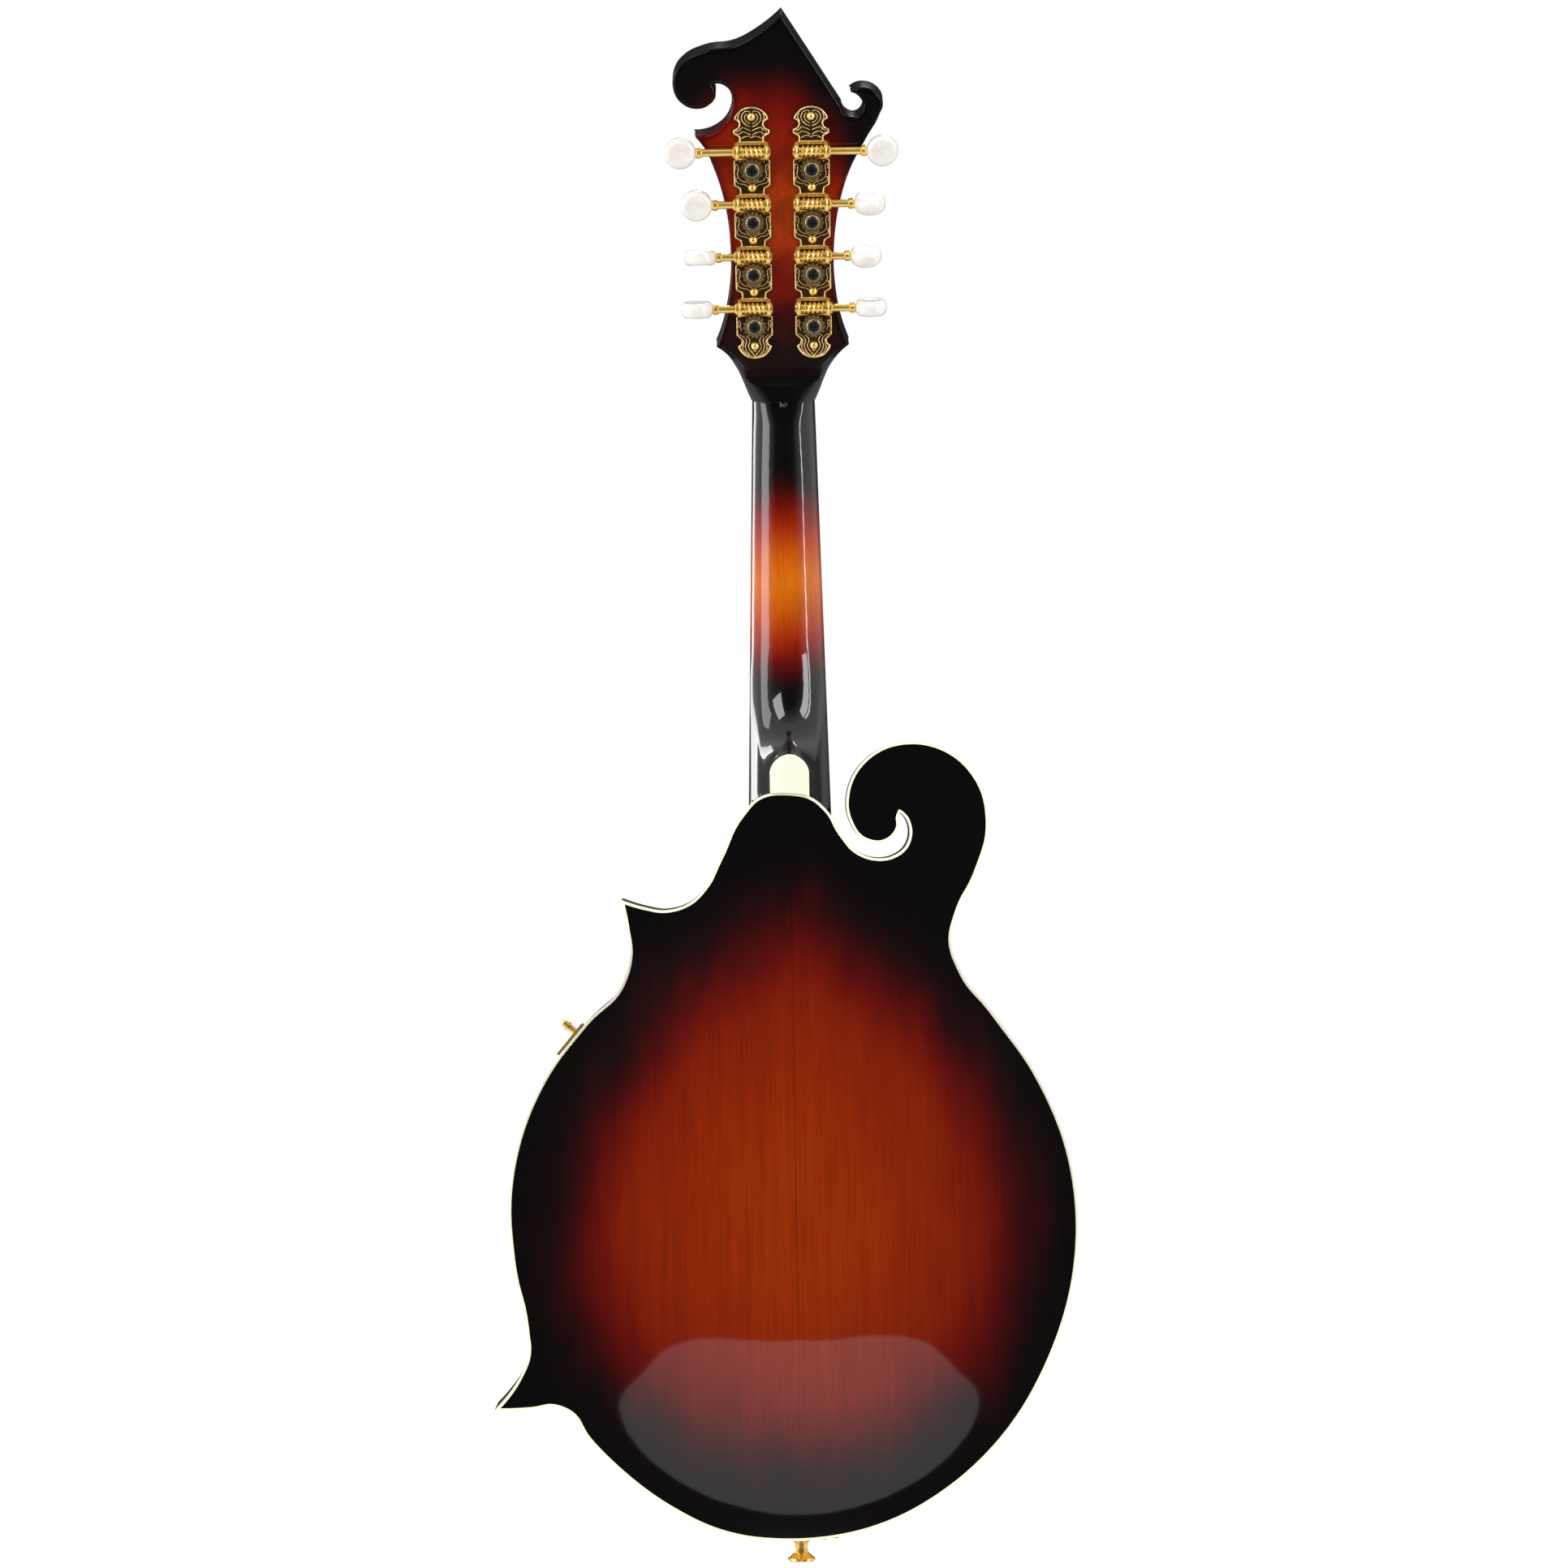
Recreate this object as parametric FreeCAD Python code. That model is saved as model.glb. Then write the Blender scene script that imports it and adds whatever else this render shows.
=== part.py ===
import FreeCAD, Part
import math
import os

os.makedirs("parts", exist_ok=True)

# A carved mandolin with a scroll and two body points.
# +Z runs up the instrument towards the headstock, the carved back faces -Y,
# the soundboard and strings face +Y, and +X is on the scroll's side.
# The origin is on the centre plane, at the nut, on the face that the
# fingerboard is glued to.

# ---------------------------------------------------------------- sizes (mm)

neck_pitch = 5.5            # degrees the neck leans back from the soundboard
headstock_tilt = 13.5       # degrees the headstock leans back from the neck
scale_length = 352.0        # nut to bridge
fret_count = 24

soundboard_edge = 11.8      # height of the soundboard's edge above the origin
plate_edge = 5.0            # thickness of both carved plates at the edge
plate_middle = 4.2          # thickness of both carved plates in the middle
rim_height = 35.0           # rim between the two plates
top_arch = 12.0             # rise of the soundboard's arch
back_arch = 11.0            # rise of the back's arch
arch_centre = -357.0        # height at which both arches are widest
arch_half_width = 135.0
arch_half_length = 165.0
arch_fullness = 1.6         # above 1, the arch stays full further out
binding_width = 1.2
rim_thickness = 2.5
lining_width = 6.0
lining_height = 9.0

nut_half_width = 14.25      # half the neck's width at the nut
neck_taper = 0.0245         # half width gained for each mm down the neck
neck_depth = 13.5           # neck wood under the fingerboard at the nut
neck_depth_gain = 0.016
neck_end = -185.0           # where the neck meets the body
nut_length = 4.5
board_thickness = 5.0
board_end = -270.0
fret_width = 1.6
fret_height = 1.0
string_lift = 6.9           # string centre above the glue face, at the nut
string_lift_bridge = 9.6

headstock_back = 14.5       # headstock thickness with its front veneer
overlay_thickness = 2.0
first_post = 36.5           # first tuning post above the headstock's root
post_spacing = 24.0
plate_offset = 13.3         # tuner plates either side of their middle
headstock_middle = 0.8
tuner_plate_thickness = 1.2
worm_distance = 8.1         # worm axis above its gear's centre
worm_height = 3.2           # worm axis above the tuner plate
gear_tip = 5.25
gear_root = 4.35
gear_teeth = 15
gear_thickness = 2.6
worm_tip = 2.75
worm_core = 1.95
worm_pitch = 2.05
shaft_radius = 1.75
post_radius = 3.1
running_clearance = 0.05
button_radius = 7.1
button_thickness = 6.8
left_button_reach = (25.7, 23.9, 25.1, 32.0)
right_button_reach = (25.9, 23.8, 25.8, 31.7)
left_button_turn = (84.0, 76.0, 4.0, 2.0)
right_button_turn = (88.0, 105.0, 105.0, 2.0)

base_height = 8.5
wheel_radius = 5.0
wheel_thickness = 2.2
wheel_gap = 0.05
bridge_post_spread = 68.0
bridge_post_radius = 1.6

back_edge = soundboard_edge - rim_height - 2 * plate_edge
top_seat = soundboard_edge - plate_edge
back_seat = back_edge + plate_edge


# ------------------------------------------------------- drawing in outlines

def flat(x, z):
    return FreeCAD.Vector(x, 0, z)


def unit(v):
    return v * (1.0 / v.Length)


def inward(direction):
    # An outline is drawn anticlockwise, so its inside is on the left.
    return FreeCAD.Vector(-direction.z, 0, direction.x)


def circle_direction(a, b, c, at):
    # The direction at "at" of the circle through three points.
    d1 = b - a
    d2 = c - b
    cross = d1.x * d2.z - d1.z * d2.x
    if abs(cross) < 1e-6:
        return unit(c - a)
    half1 = (a + b) * 0.5
    half2 = (b + c) * 0.5
    n1 = FreeCAD.Vector(-d1.z, 0, d1.x)
    n2 = FreeCAD.Vector(-d2.z, 0, d2.x)
    gap = half2 - half1
    t = (gap.x * n2.z - gap.z * n2.x) / (n1.x * n2.z - n1.z * n2.x)
    centre = half1 + n1 * t
    radius = at - centre
    along = FreeCAD.Vector(-radius.z, 0, radius.x)
    if along.dot(c - a) < 0:
        along = along * -1.0
    return unit(along)


def directions(points):
    found = [circle_direction(points[0], points[1], points[2], points[0])]
    for i in range(1, len(points) - 1):
        found.append(circle_direction(points[i - 1], points[i], points[i + 1], points[i]))
    found.append(circle_direction(points[-3], points[-2], points[-1], points[-1]))
    return found


def arc_leaving(start, end, direction):
    # The arc from start to end that leaves start along a direction.
    chord = end - start
    cross = direction.x * chord.z - direction.z * chord.x
    angle = math.atan2(cross, direction.dot(chord))
    if abs(angle) < 1e-4:
        return Part.makeLine(start, end)
    side = FreeCAD.Vector(chord.z, 0, -chord.x)
    middle = (start + end) * 0.5 + side * (0.5 * math.tan(angle / 2))
    return Part.Arc(start, middle, end).toShape()


def arc_pair(start, end, leave, arrive):
    # Two arcs that meet smoothly and keep both end directions.
    gap = end - start
    total = leave + arrive
    a = 2 * (leave.dot(arrive) - 1)
    b = -2 * gap.dot(total)
    c = gap.dot(gap)
    if abs(a) < 1e-9:
        reach = -c / b
    else:
        reach = (-b - math.sqrt(b * b - 4 * a * c)) / (2 * a)
        if reach <= 0:
            reach = (-b + math.sqrt(b * b - 4 * a * c)) / (2 * a)
    meet = (start + leave * reach + end - arrive * reach) * 0.5
    first = arc_leaving(start, meet, leave)
    second = arc_leaving(end, meet, arrive * -1.0)
    return [first, second]


def smooth_edges(points, ways):
    edges = []
    for i in range(len(points) - 1):
        edges.extend(arc_pair(points[i], points[i + 1], ways[i], ways[i + 1]))
    return edges


def outline(stretches, inset):
    # Each stretch is a smooth run between two corners. The whole outline is
    # moved inwards by inset, and corners keep their mitre.
    runs = []
    for stretch in stretches:
        points = [flat(x, z) for x, z in stretch]
        runs.append((points, directions(points)))
    edges = []
    count = len(runs)
    corners = []
    for i in range(count):
        before = inward(runs[i - 1][1][-1])
        after = inward(runs[i][1][0])
        corner = runs[i][0][0]
        mitre = (before + after) * (inset / (1.0 + before.dot(after)))
        corners.append(corner + mitre)
    for i in range(count):
        points, ways = runs[i]
        moved = [corners[i]]
        for point, way in zip(points[1:-1], ways[1:-1]):
            moved.append(point + inward(way) * inset)
        moved.append(corners[(i + 1) % count])
        edges.extend(smooth_edges(moved, ways))
    return Part.Wire(Part.__sortEdges__(edges))


def slab(wire, low, high):
    # The space inside a flat outline, between two heights along Y.
    face = Part.Face(wire)
    solid = face.extrude(FreeCAD.Vector(0, high - low, 0))
    solid.translate(FreeCAD.Vector(0, low, 0))
    return solid


def straight_outline(points):
    corners = [flat(x, z) for x, z in points]
    return Part.makePolygon(corners + [corners[0]])


def block(x0, x1, y0, y1, z0, z1):
    corner = FreeCAD.Vector(x0, y0, z0)
    return Part.makeBox(x1 - x0, y1 - y0, z1 - z0, corner)


def rod(radius, start, end):
    way = end - start
    return Part.makeCylinder(radius, way.Length, start, way)


# ------------------------------------------------------------- body outline

throat = [
    (49.0, -185.4), (51.6, -187.2), (54.8, -194.5), (52.5, -203.0), (45.5, -207.8),
    (37.0, -208.3), (29.0, -205.0), (21.7, -196.5), (16.0, -186.5), (9.0, -180.5),
    (0.0, -178.5), (-13.5, -180.3), (-21.0, -188.0), (-31.3, -208.0), (-37.0, -219.0),
    (-45.0, -227.0), (-56.2, -230.4), (-67.9, -228.5), (-75.0, -226.2),
]
left_side = [
    (-71.7, -248.0), (-75.5, -262.5), (-93.3, -281.3), (-109.5, -302.0), (-121.5, -327.0),
    (-127.7, -356.0), (-126.5, -387.0), (-121.0, -416.0), (-120.5, -429.0), (-124.7, -439.1),
]
knee = [(-134.5, -452.0), (-120.5, -451.6), (-110.0, -450.5), (-103.5, -452.9)]
tail = [
    (-93.0, -467.0), (-80.3, -480.0), (-60.0, -495.8), (-35.6, -508.0), (0.0, -512.5),
    (37.7, -505.6), (68.6, -488.5), (94.0, -463.6), (112.0, -433.0), (122.9, -399.5),
]
right_side = [
    (125.5, -370.0), (121.6, -340.4), (108.6, -307.5), (88.7, -278.1), (75.0, -260.0),
    (70.3, -245.0),
]
scroll = [
    (73.8, -230.7), (82.0, -214.5), (87.9, -194.0), (84.5, -175.0), (72.7, -161.5),
    (56.0, -156.3), (40.0, -160.0), (28.0, -174.0), (27.5, -189.0), (34.0, -198.0),
    (42.8, -198.6), (47.3, -194.0), (47.8, -188.0), (49.0, -185.4),
]
body_stretches = [
    throat,
    [throat[-1], (-73.0, -237.0)] + left_side + [knee[0]],
    knee + tail + right_side + scroll,
]


def body_outline(inset):
    return outline(body_stretches, inset)


def chamber_outline():
    # The inner edge of the linings, straight across below the head block.
    inset = binding_width * -1 + rim_thickness + lining_width
    left = [flat(x, z) for x, z in left_side[:-2]]
    low = [flat(x, z) for x, z in tail + right_side]
    moved = []
    for run in (left, low):
        for point, way in zip(run, directions(run)):
            moved.append(point + inward(way) * inset)
    ways = directions(moved)
    edges = smooth_edges(moved, ways)
    edges.append(Part.makeLine(moved[-1], moved[0]))
    return Part.Wire(Part.__sortEdges__(edges))


# ------------------------------------------------------------ carved plates

def arch(x, z):
    # 1 in the middle, falling smoothly to 0 at the recurve near the edge.
    reach = math.hypot(x / arch_half_width, (z - arch_centre) / arch_half_length)
    if reach >= 1.0:
        return 0.0
    return 0.5 + 0.5 * math.cos(math.pi * reach ** arch_fullness)


def carved_solid(edge_height, rise, spread, down):
    # Everything on the inner side of a carved surface. "down" is -1 for the
    # soundboard, whose outside faces +Y, and +1 for the back.
    rows = []
    x_limit = arch_half_width + 25 + spread
    for i in range(27):
        x = -x_limit + 2 * x_limit * i / 26.0
        row = []
        for k in range(33):
            z = -530 - spread + (390 + 2 * spread) * k / 32.0
            row.append(FreeCAD.Vector(x, edge_height - down * rise * arch(x, z), z))
        rows.append(row)
    surface = Part.BSplineSurface()
    surface.interpolate(rows)
    depth = (70 + 10 * spread) * down
    return surface.toShape().extrude(FreeCAD.Vector(0, depth, 0))


def one_solid(shape):
    solids = shape.Solids
    solids.sort(key=lambda s: s.Volume)
    return solids[-1]


outer_wire = body_outline(-binding_width)
tail_z = outer_wire.optimalBoundingBox().ZMin - 0.01
plate_wire = body_outline(0.0)
rim_inside_wire = body_outline(rim_thickness - binding_width)
whole_body = slab(outer_wire, back_edge, soundboard_edge)
inside_rim = slab(rim_inside_wire, back_seat, top_seat)
chamber = slab(chamber_outline(), back_seat - 1, top_seat + 1)

under_top = carved_solid(soundboard_edge, top_arch, 0.0, -1)
under_top_inside = carved_solid(top_seat, top_arch + plate_edge - plate_middle, 1.0, -1)
over_back = carved_solid(back_edge, back_arch, 0.0, 1)
over_back_inside = carved_solid(back_seat, back_arch + plate_edge - plate_middle, 1.0, 1)

# The plates are hollowed over the chamber and left flat where they are glued.
plate_space = slab(plate_wire, back_edge - 30, soundboard_edge + 30)
hollow_space = slab(chamber_outline(), back_seat - 30, top_seat + 30)
soundboard = plate_space.common(under_top).cut(slab(outer_wire, back_edge - 31, top_seat))
soundboard = one_solid(soundboard.cut(hollow_space.common(under_top_inside)))
back_plate = plate_space.common(over_back).cut(slab(outer_wire, back_seat, soundboard_edge + 31))
back_plate = one_solid(back_plate.cut(hollow_space.common(over_back_inside)))


def sound_hole(side):
    # A long S-shaped opening with a round eye at each end.
    x = side * 62.0
    upper = FreeCAD.Vector(x - side * 9, -10, -303)
    lower = FreeCAD.Vector(x + side * 13, -10, -377)
    eyes = Part.makeCylinder(4.2, 60, upper, FreeCAD.Vector(0, 1, 0))
    eyes = eyes.fuse(Part.makeCylinder(5.6, 60, lower, FreeCAD.Vector(0, 1, 0)))
    inner = [
        (x - side * 5.5, -300.5), (x - side * 1.5, -306.0), (x - side * 1.0, -320.0),
        (x + side * 1.5, -342.0), (x + side * 5.0, -362.0), (x + side * 10.5, -372.5),
    ]
    outer = [
        (x + side * 9.0, -381.5), (x + side * 2.5, -374.0), (x - side * 2.5, -360.0),
        (x - side * 5.0, -342.0), (x - side * 6.5, -320.0), (x - side * 8.0, -307.0),
    ]
    edges = []
    for run in (inner, outer):
        points = [flat(px, pz) for px, pz in run]
        edges.extend(smooth_edges(points, directions(points)))
    edges.append(Part.makeLine(flat(*inner[-1]), flat(*outer[0])))
    edges.append(Part.makeLine(flat(*outer[-1]), flat(*inner[0])))
    stem = slab(Part.Wire(Part.__sortEdges__(edges)), -10, 50)
    return eyes.fuse(stem)


for side in (-1, 1):
    soundboard = soundboard.cut(sound_hole(side))
soundboard = one_solid(soundboard)

top_binding = slab(outer_wire, top_seat, soundboard_edge)
top_binding = one_solid(top_binding.cut(slab(plate_wire, top_seat - 1, soundboard_edge + 1)))
back_binding = slab(outer_wire, back_edge, back_seat)
back_binding = one_solid(back_binding.cut(slab(plate_wire, back_edge - 1, back_seat + 1)))

rim = slab(outer_wire, back_seat, top_seat).cut(slab(rim_inside_wire, back_seat - 1, top_seat + 1))
rim = one_solid(rim)

# ------------------------------------------------------------ inside blocks

head_block = inside_rim.common(block(-60, 100, back_seat, top_seat, -222, -140)).cut(chamber)
head_block = one_solid(head_block)
tail_block = one_solid(inside_rim.common(block(-38, 38, back_seat, top_seat, -520, -492)))
upper_point = one_solid(inside_rim.common(block(-90, -60.0, back_seat, top_seat, -243, -215)))
lower_point = one_solid(inside_rim.cut(chamber).common(block(-150, -84, back_seat, top_seat, -474, -416)))
around = inside_rim.cut(chamber).cut(block(-60.01, 100, -60, 40, -222, -140))
around = around.cut(block(-38, 38, -60, 40, -520, -492))
around = around.cut(block(-90, -60.0, -60, 40, -243, -215))
around = around.cut(block(-150, -84, -60, 40, -474, -416))
linings = []
for low, high in ((back_seat, back_seat + lining_height), (top_seat - lining_height, top_seat)):
    for piece in around.common(block(-150, 150, low, high, -520, -140)).Solids:
        if piece.Volume > 500:
            linings.append(piece)

tone_bars = []
for side in (-1, 1):
    bar = block(side * 30 - 3, side * 30 + 3, top_seat - 6, top_seat + 20, -450, -250)
    bar.rotate(FreeCAD.Vector(side * 30, 0, -350), FreeCAD.Vector(0, 1, 0), side * 4)
    tone_bars.append(one_solid(bar.common(under_top_inside)))

# --------------------------------------------------------------------- neck

neck_place = FreeCAD.Placement(
    FreeCAD.Vector(0, 0, 0), FreeCAD.Rotation(FreeCAD.Vector(1, 0, 0), neck_pitch))
head_place = neck_place.multiply(FreeCAD.Placement(
    FreeCAD.Vector(0, 0, nut_length), FreeCAD.Rotation(FreeCAD.Vector(1, 0, 0), headstock_tilt)))


def placed(shape, placement):
    copy = shape.copy()
    copy.transformShape(placement.toMatrix(), False)
    return copy


def on_neck(shape):
    return placed(shape, neck_place)


def on_head(shape):
    return placed(shape, head_place)


def half_width(z):
    return nut_half_width - neck_taper * min(z, 0)


def neck_section(z):
    w = half_width(z)
    d = neck_depth - neck_depth_gain * z
    points = [
        FreeCAD.Vector(-w, 0, z), FreeCAD.Vector(-0.93 * w, -0.36 * d, z),
        FreeCAD.Vector(-0.66 * w, -0.76 * d, z), FreeCAD.Vector(0, -d, z),
        FreeCAD.Vector(0.66 * w, -0.76 * d, z), FreeCAD.Vector(0.93 * w, -0.36 * d, z),
        FreeCAD.Vector(w, 0, z),
    ]
    curve = Part.BSplineCurve()
    curve.interpolate(points)
    return Part.Wire([curve.toShape(), Part.makeLine(points[-1], points[0])])


def heel_section(y, w, tip):
    foot = neck_end - 15.0
    shoulder = tip - 1.05 * w
    curve = Part.BSplineCurve()
    curve.interpolate([
        FreeCAD.Vector(-w, y, shoulder), FreeCAD.Vector(-0.74 * w, y, shoulder + 0.7 * w),
        FreeCAD.Vector(0, y, tip), FreeCAD.Vector(0.74 * w, y, shoulder + 0.7 * w),
        FreeCAD.Vector(w, y, shoulder)])
    ends = [FreeCAD.Vector(-w, y, foot), FreeCAD.Vector(w, y, foot)]
    start = FreeCAD.Vector(-w, y, shoulder)
    stop = FreeCAD.Vector(w, y, shoulder)
    return Part.Wire([
        Part.makeLine(ends[0], start), curve.toShape(),
        Part.makeLine(stop, ends[1]), Part.makeLine(ends[1], ends[0])])


shaft_wires = [neck_section(z) for z in (nut_length, -60.0, -120.0, neck_end)]
neck_shaft = on_neck(Part.makeLoft(shaft_wires, True, False))

heel_levels = [
    (6.0, 14.5, -112.0), (-2.5, 13.6, -124.0), (-6.0, 12.9, -138.0), (-11.5, 11.8, -148.5),
    (-18.0, 10.6, -154.5), (-26.0, 9.4, -158.3), (back_edge, 8.8, -160.0),
]
heel = Part.makeLoft([heel_section(y, w, tip) for y, w, tip in heel_levels], True, False)

head_left_low = [(-14.3, 0.0), (-15.6, 3.0), (-19.8, 13.3), (-26.3, 23.2), (-30.0, 25.8)]
head_left_side = [
    (-30.0, 25.8), (-27.6, 32.0), (-25.0, 42.0), (-23.0, 56.0), (-22.7, 69.5),
    (-23.8, 85.0), (-28.8, 106.0), (-34.0, 118.0), (-38.2, 123.2),
]
head_left_hook = [
    (-38.2, 123.2), (-29.5, 124.8), (-23.5, 129.7), (-21.0, 137.0), (-22.6, 144.5), (-29.8, 146.5),
]
head_left_lobe = [
    (-29.8, 146.5), (-28.0, 142.0), (-32.5, 136.2), (-38.5, 135.5), (-44.0, 138.5),
    (-47.3, 146.0), (-45.5, 153.5), (-40.5, 158.6), (-33.0, 161.8), (-18.6, 164.3), (-8.2, 170.0),
    (1.5, 178.0),
]
head_right_slope = [(1.5, 178.0), (15.0, 156.4), (27.8, 135.8)]
head_right_eye = [(27.8, 135.8), (30.0, 131.8), (34.5, 131.0), (37.4, 135.0), (35.6, 140.0), (31.4, 142.0)]
head_right_side = [
    (31.4, 142.0), (37.5, 144.3), (43.0, 142.3), (46.4, 136.8), (44.5, 131.0), (38.5, 120.5),
    (31.0, 106.0), (26.2, 90.0), (23.8, 72.0), (23.7, 58.0), (26.6, 36.5), (30.0, 26.0),
]
head_right_low = [(30.0, 26.0), (26.3, 22.8), (19.7, 12.9), (15.6, 3.0), (14.3, 0.0)]
head_stretches = [
    head_left_low, head_left_side, head_left_hook, head_left_lobe, head_right_slope,
    head_right_eye, head_right_side, head_right_low,
]


def headstock_outline():
    edges = []
    for stretch in head_stretches:
        points = [flat(x, z) for x, z in stretch]
        edges.extend(smooth_edges(points, directions(points)))
    edges.append(Part.makeLine(flat(14.3, 0.0), flat(-14.3, 0.0)))
    return Part.Wire(Part.__sortEdges__(edges))


head_wire = headstock_outline()
head_wood = on_head(slab(head_wire, -headstock_back, -overlay_thickness))
headstock_overlay = on_head(slab(head_wire, -overlay_thickness, 0.0))

body_hole = slab(outer_wire, back_edge - 5, soundboard_edge)
tenon = block(-11, 11, back_seat + 1.5, top_seat - 1.5, -202, -170)
root = on_neck(block(-nut_half_width, nut_half_width, -neck_depth + 2, 0, 0, nut_length))
neck = neck_shaft.fuse([heel, head_wood])
neck = neck.cut(on_neck(block(-60, 60, 0.0, 40, neck_end - 40, nut_length)))
neck = neck.cut(on_head(block(-60, 60, -overlay_thickness, 40, 0, 60)))
neck = neck.cut(on_neck(block(-60, 60, -neck_depth - 60, 40, neck_end - 40, neck_end)).common(
    block(-60, 60, soundboard_edge, 60, -260, -150)))
neck = neck.cut(body_hole).fuse(tenon.common(whole_body))
neck = neck.cut(block(-60, 60, back_edge - 20, back_edge, -210, -100))
head_block = one_solid(head_block.cut(tenon))
rim = one_solid(rim.cut(tenon))

heel_cap = slab(heel_section(0, 8.8, -160.0), back_edge - 1.5, back_edge)
heel_cap = one_solid(heel_cap.cut(slab(outer_wire, back_edge - 5, back_edge + 5)))

# Truss rod in its channel, with the nut in a pocket under the cover.
rod_radius = 2.5
channel_depth = 8.0
rod_axis = -channel_depth + rod_radius + 0.2
channel = block(-rod_radius - 0.1, rod_radius + 0.1, -channel_depth, 0.0, -168, nut_length)
truss_rod = rod(rod_radius, FreeCAD.Vector(0, rod_axis, -167), FreeCAD.Vector(0, rod_axis, 5.5))
rod_thread = rod(1.9, FreeCAD.Vector(0, rod_axis, 5.4), FreeCAD.Vector(0, rod_axis, 13.0))
truss_rod = truss_rod.fuse(rod_thread)
pocket = block(-5.5, 5.5, -9.5, 1.0, 0.0, 25.0)
neck = one_solid(neck.cut(on_neck(channel)).cut(on_head(pocket)))
headstock_overlay = one_solid(headstock_overlay.cut(on_head(pocket)))
nut_key = []
for i in range(6):
    angle = math.radians(60 * i)
    nut_key.append(FreeCAD.Vector(3.4 * math.cos(angle), rod_axis + 3.4 * math.sin(angle), 6.6))
hexagon = Part.Face(Part.makePolygon(nut_key + [nut_key[0]]))
truss_rod_nut = hexagon.extrude(FreeCAD.Vector(0, 0, 6.0))
nut_bore = rod(1.9 + running_clearance, FreeCAD.Vector(0, rod_axis, 0), FreeCAD.Vector(0, rod_axis, 40))
truss_rod_nut = truss_rod_nut.cut(nut_bore)

cover_points = [
    (-9.0, 1.0), (9.0, 1.0), (9.0, 8.0), (6.5, 18.0), (3.0, 29.0), (0.0, 33.0), (-3.0, 29.0),
    (-6.5, 18.0), (-9.0, 8.0),
]
truss_rod_cover = slab(straight_outline(cover_points), 0.0, 1.6)
cover_screw_spots = [(-7.0, 5.0), (7.0, 5.0), (0.0, 29.0)]

# -------------------------------------------------- fingerboard, frets, nut

def board_outline(low, high):
    return straight_outline([
        (-half_width(low), low), (half_width(low), low),
        (half_width(high), high), (-half_width(high), high)])


fingerboard = slab(board_outline(board_end, 0.0), 0.0, board_thickness)
frets = []
for number in range(1, fret_count + 1):
    place = -scale_length * (1 - 2 ** (-number / 12.0))
    reach = half_width(place) - 0.3
    crown = Part.makeCylinder(
        fret_width, 2 * reach, FreeCAD.Vector(-reach, board_thickness - 0.6, place),
        FreeCAD.Vector(1, 0, 0))
    crown = crown.common(block(
        -reach, reach, board_thickness, board_thickness + fret_height,
        place - fret_width, place + fret_width))
    tang = block(-reach, reach, board_thickness - 2.0, board_thickness, place - 0.3, place + 0.3)
    fret = crown.fuse(tang)
    fingerboard = fingerboard.cut(tang)
    frets.append(fret)

position_dots = []
for number in (5, 7, 10, 12, 15):
    place = -scale_length * (2 - 2 ** (-number / 12.0) - 2 ** (-(number - 1) / 12.0)) / 2
    for x in ((-5.5, 5.5) if number == 12 else (0.0,)):
        dot = Part.makeCylinder(
            2.0, 1.2, FreeCAD.Vector(x, board_thickness - 1.2, place), FreeCAD.Vector(0, 1, 0))
        fingerboard = fingerboard.cut(dot)
        position_dots.append(dot)
fingerboard = one_solid(fingerboard)

riser = slab(board_outline(board_end + 6.0, neck_end), -20.0, 0.0)
riser = on_neck(riser).cut(under_top)
riser = one_solid(riser.cut(block(-60, 60, -60, soundboard_edge, -300, -100)))

nut_block = block(-nut_half_width, nut_half_width, 0.0, board_thickness + 2.6, 0.0, nut_length - 0.6)
nut_block = nut_block.makeFillet(0.8, [e for e in nut_block.Edges if e.CenterOfMass.y > 7.5])

# ------------------------------------------------------------------- tuners

plate_back = -headstock_back
plate_face = plate_back - tuner_plate_thickness
worm_y = plate_face - worm_height
upright_half = 3.85
upright_inner = 5.7
upright_outer = 7.5


def tuner_plate_outline(middle):
    # One straight-sided panel for each gear, waisted between panels, with a
    # round end above the last and below the first.
    right = []
    top = first_post + 3 * post_spacing
    right.append((0.0, first_post - 16.0))
    right.append((3.2, first_post - 15.4))
    right.append((6.0, first_post - 13.4))
    right.append((7.9, first_post - 10.0))
    right.append((6.3, first_post - 9.0))
    right.append((6.0, first_post - 7.4))
    right.append((7.0, first_post - 6.0))
    for i in range(4):
        centre = first_post + i * post_spacing
        if i > 0:
            right.append((5.6, centre - 11.2))
            right.append((5.9, centre - 9.4))
            right.append((8.3, centre - 7.9))
        else:
            right.append((8.3, centre - 5.2))
        right.append((8.3, centre + 3.7))
        right.append((upright_outer, centre + worm_distance - upright_half))
        right.append((upright_outer, centre + worm_distance + upright_half))
        right.append((5.6, centre + worm_distance + upright_half))
    right.append((5.8, top + 14.2))
    right.append((8.3, top + 15.7))
    right.append((8.3, top + 17.6))
    right.append((6.2, top + 18.6))
    right.append((5.6, top + 20.0))
    right.append((6.2, top + 21.3))
    right.append((7.9, top + 22.3))
    right.append((6.0, top + 25.6))
    right.append((3.2, top + 27.6))
    right.append((0.0, top + 28.2))
    left = [(-x, z) for x, z in reversed(right[1:-1])]
    return straight_outline([(middle + x, z) for x, z in right + left])


def upright(x0, x1, centre):
    shape = block(x0, x1, worm_y - 3.4, plate_face, centre - upright_half, centre + upright_half)
    edges = [e for e in shape.Edges if abs(e.CenterOfMass.y - (worm_y - 3.4)) < 1e-6
             and abs(e.CenterOfMass.z - centre) > upright_half - 0.1]
    return shape.makeFillet(2.4, edges)


def across(radius, x0, x1, y, z):
    return rod(radius, FreeCAD.Vector(x0, y, z), FreeCAD.Vector(x1, y, z))


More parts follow.
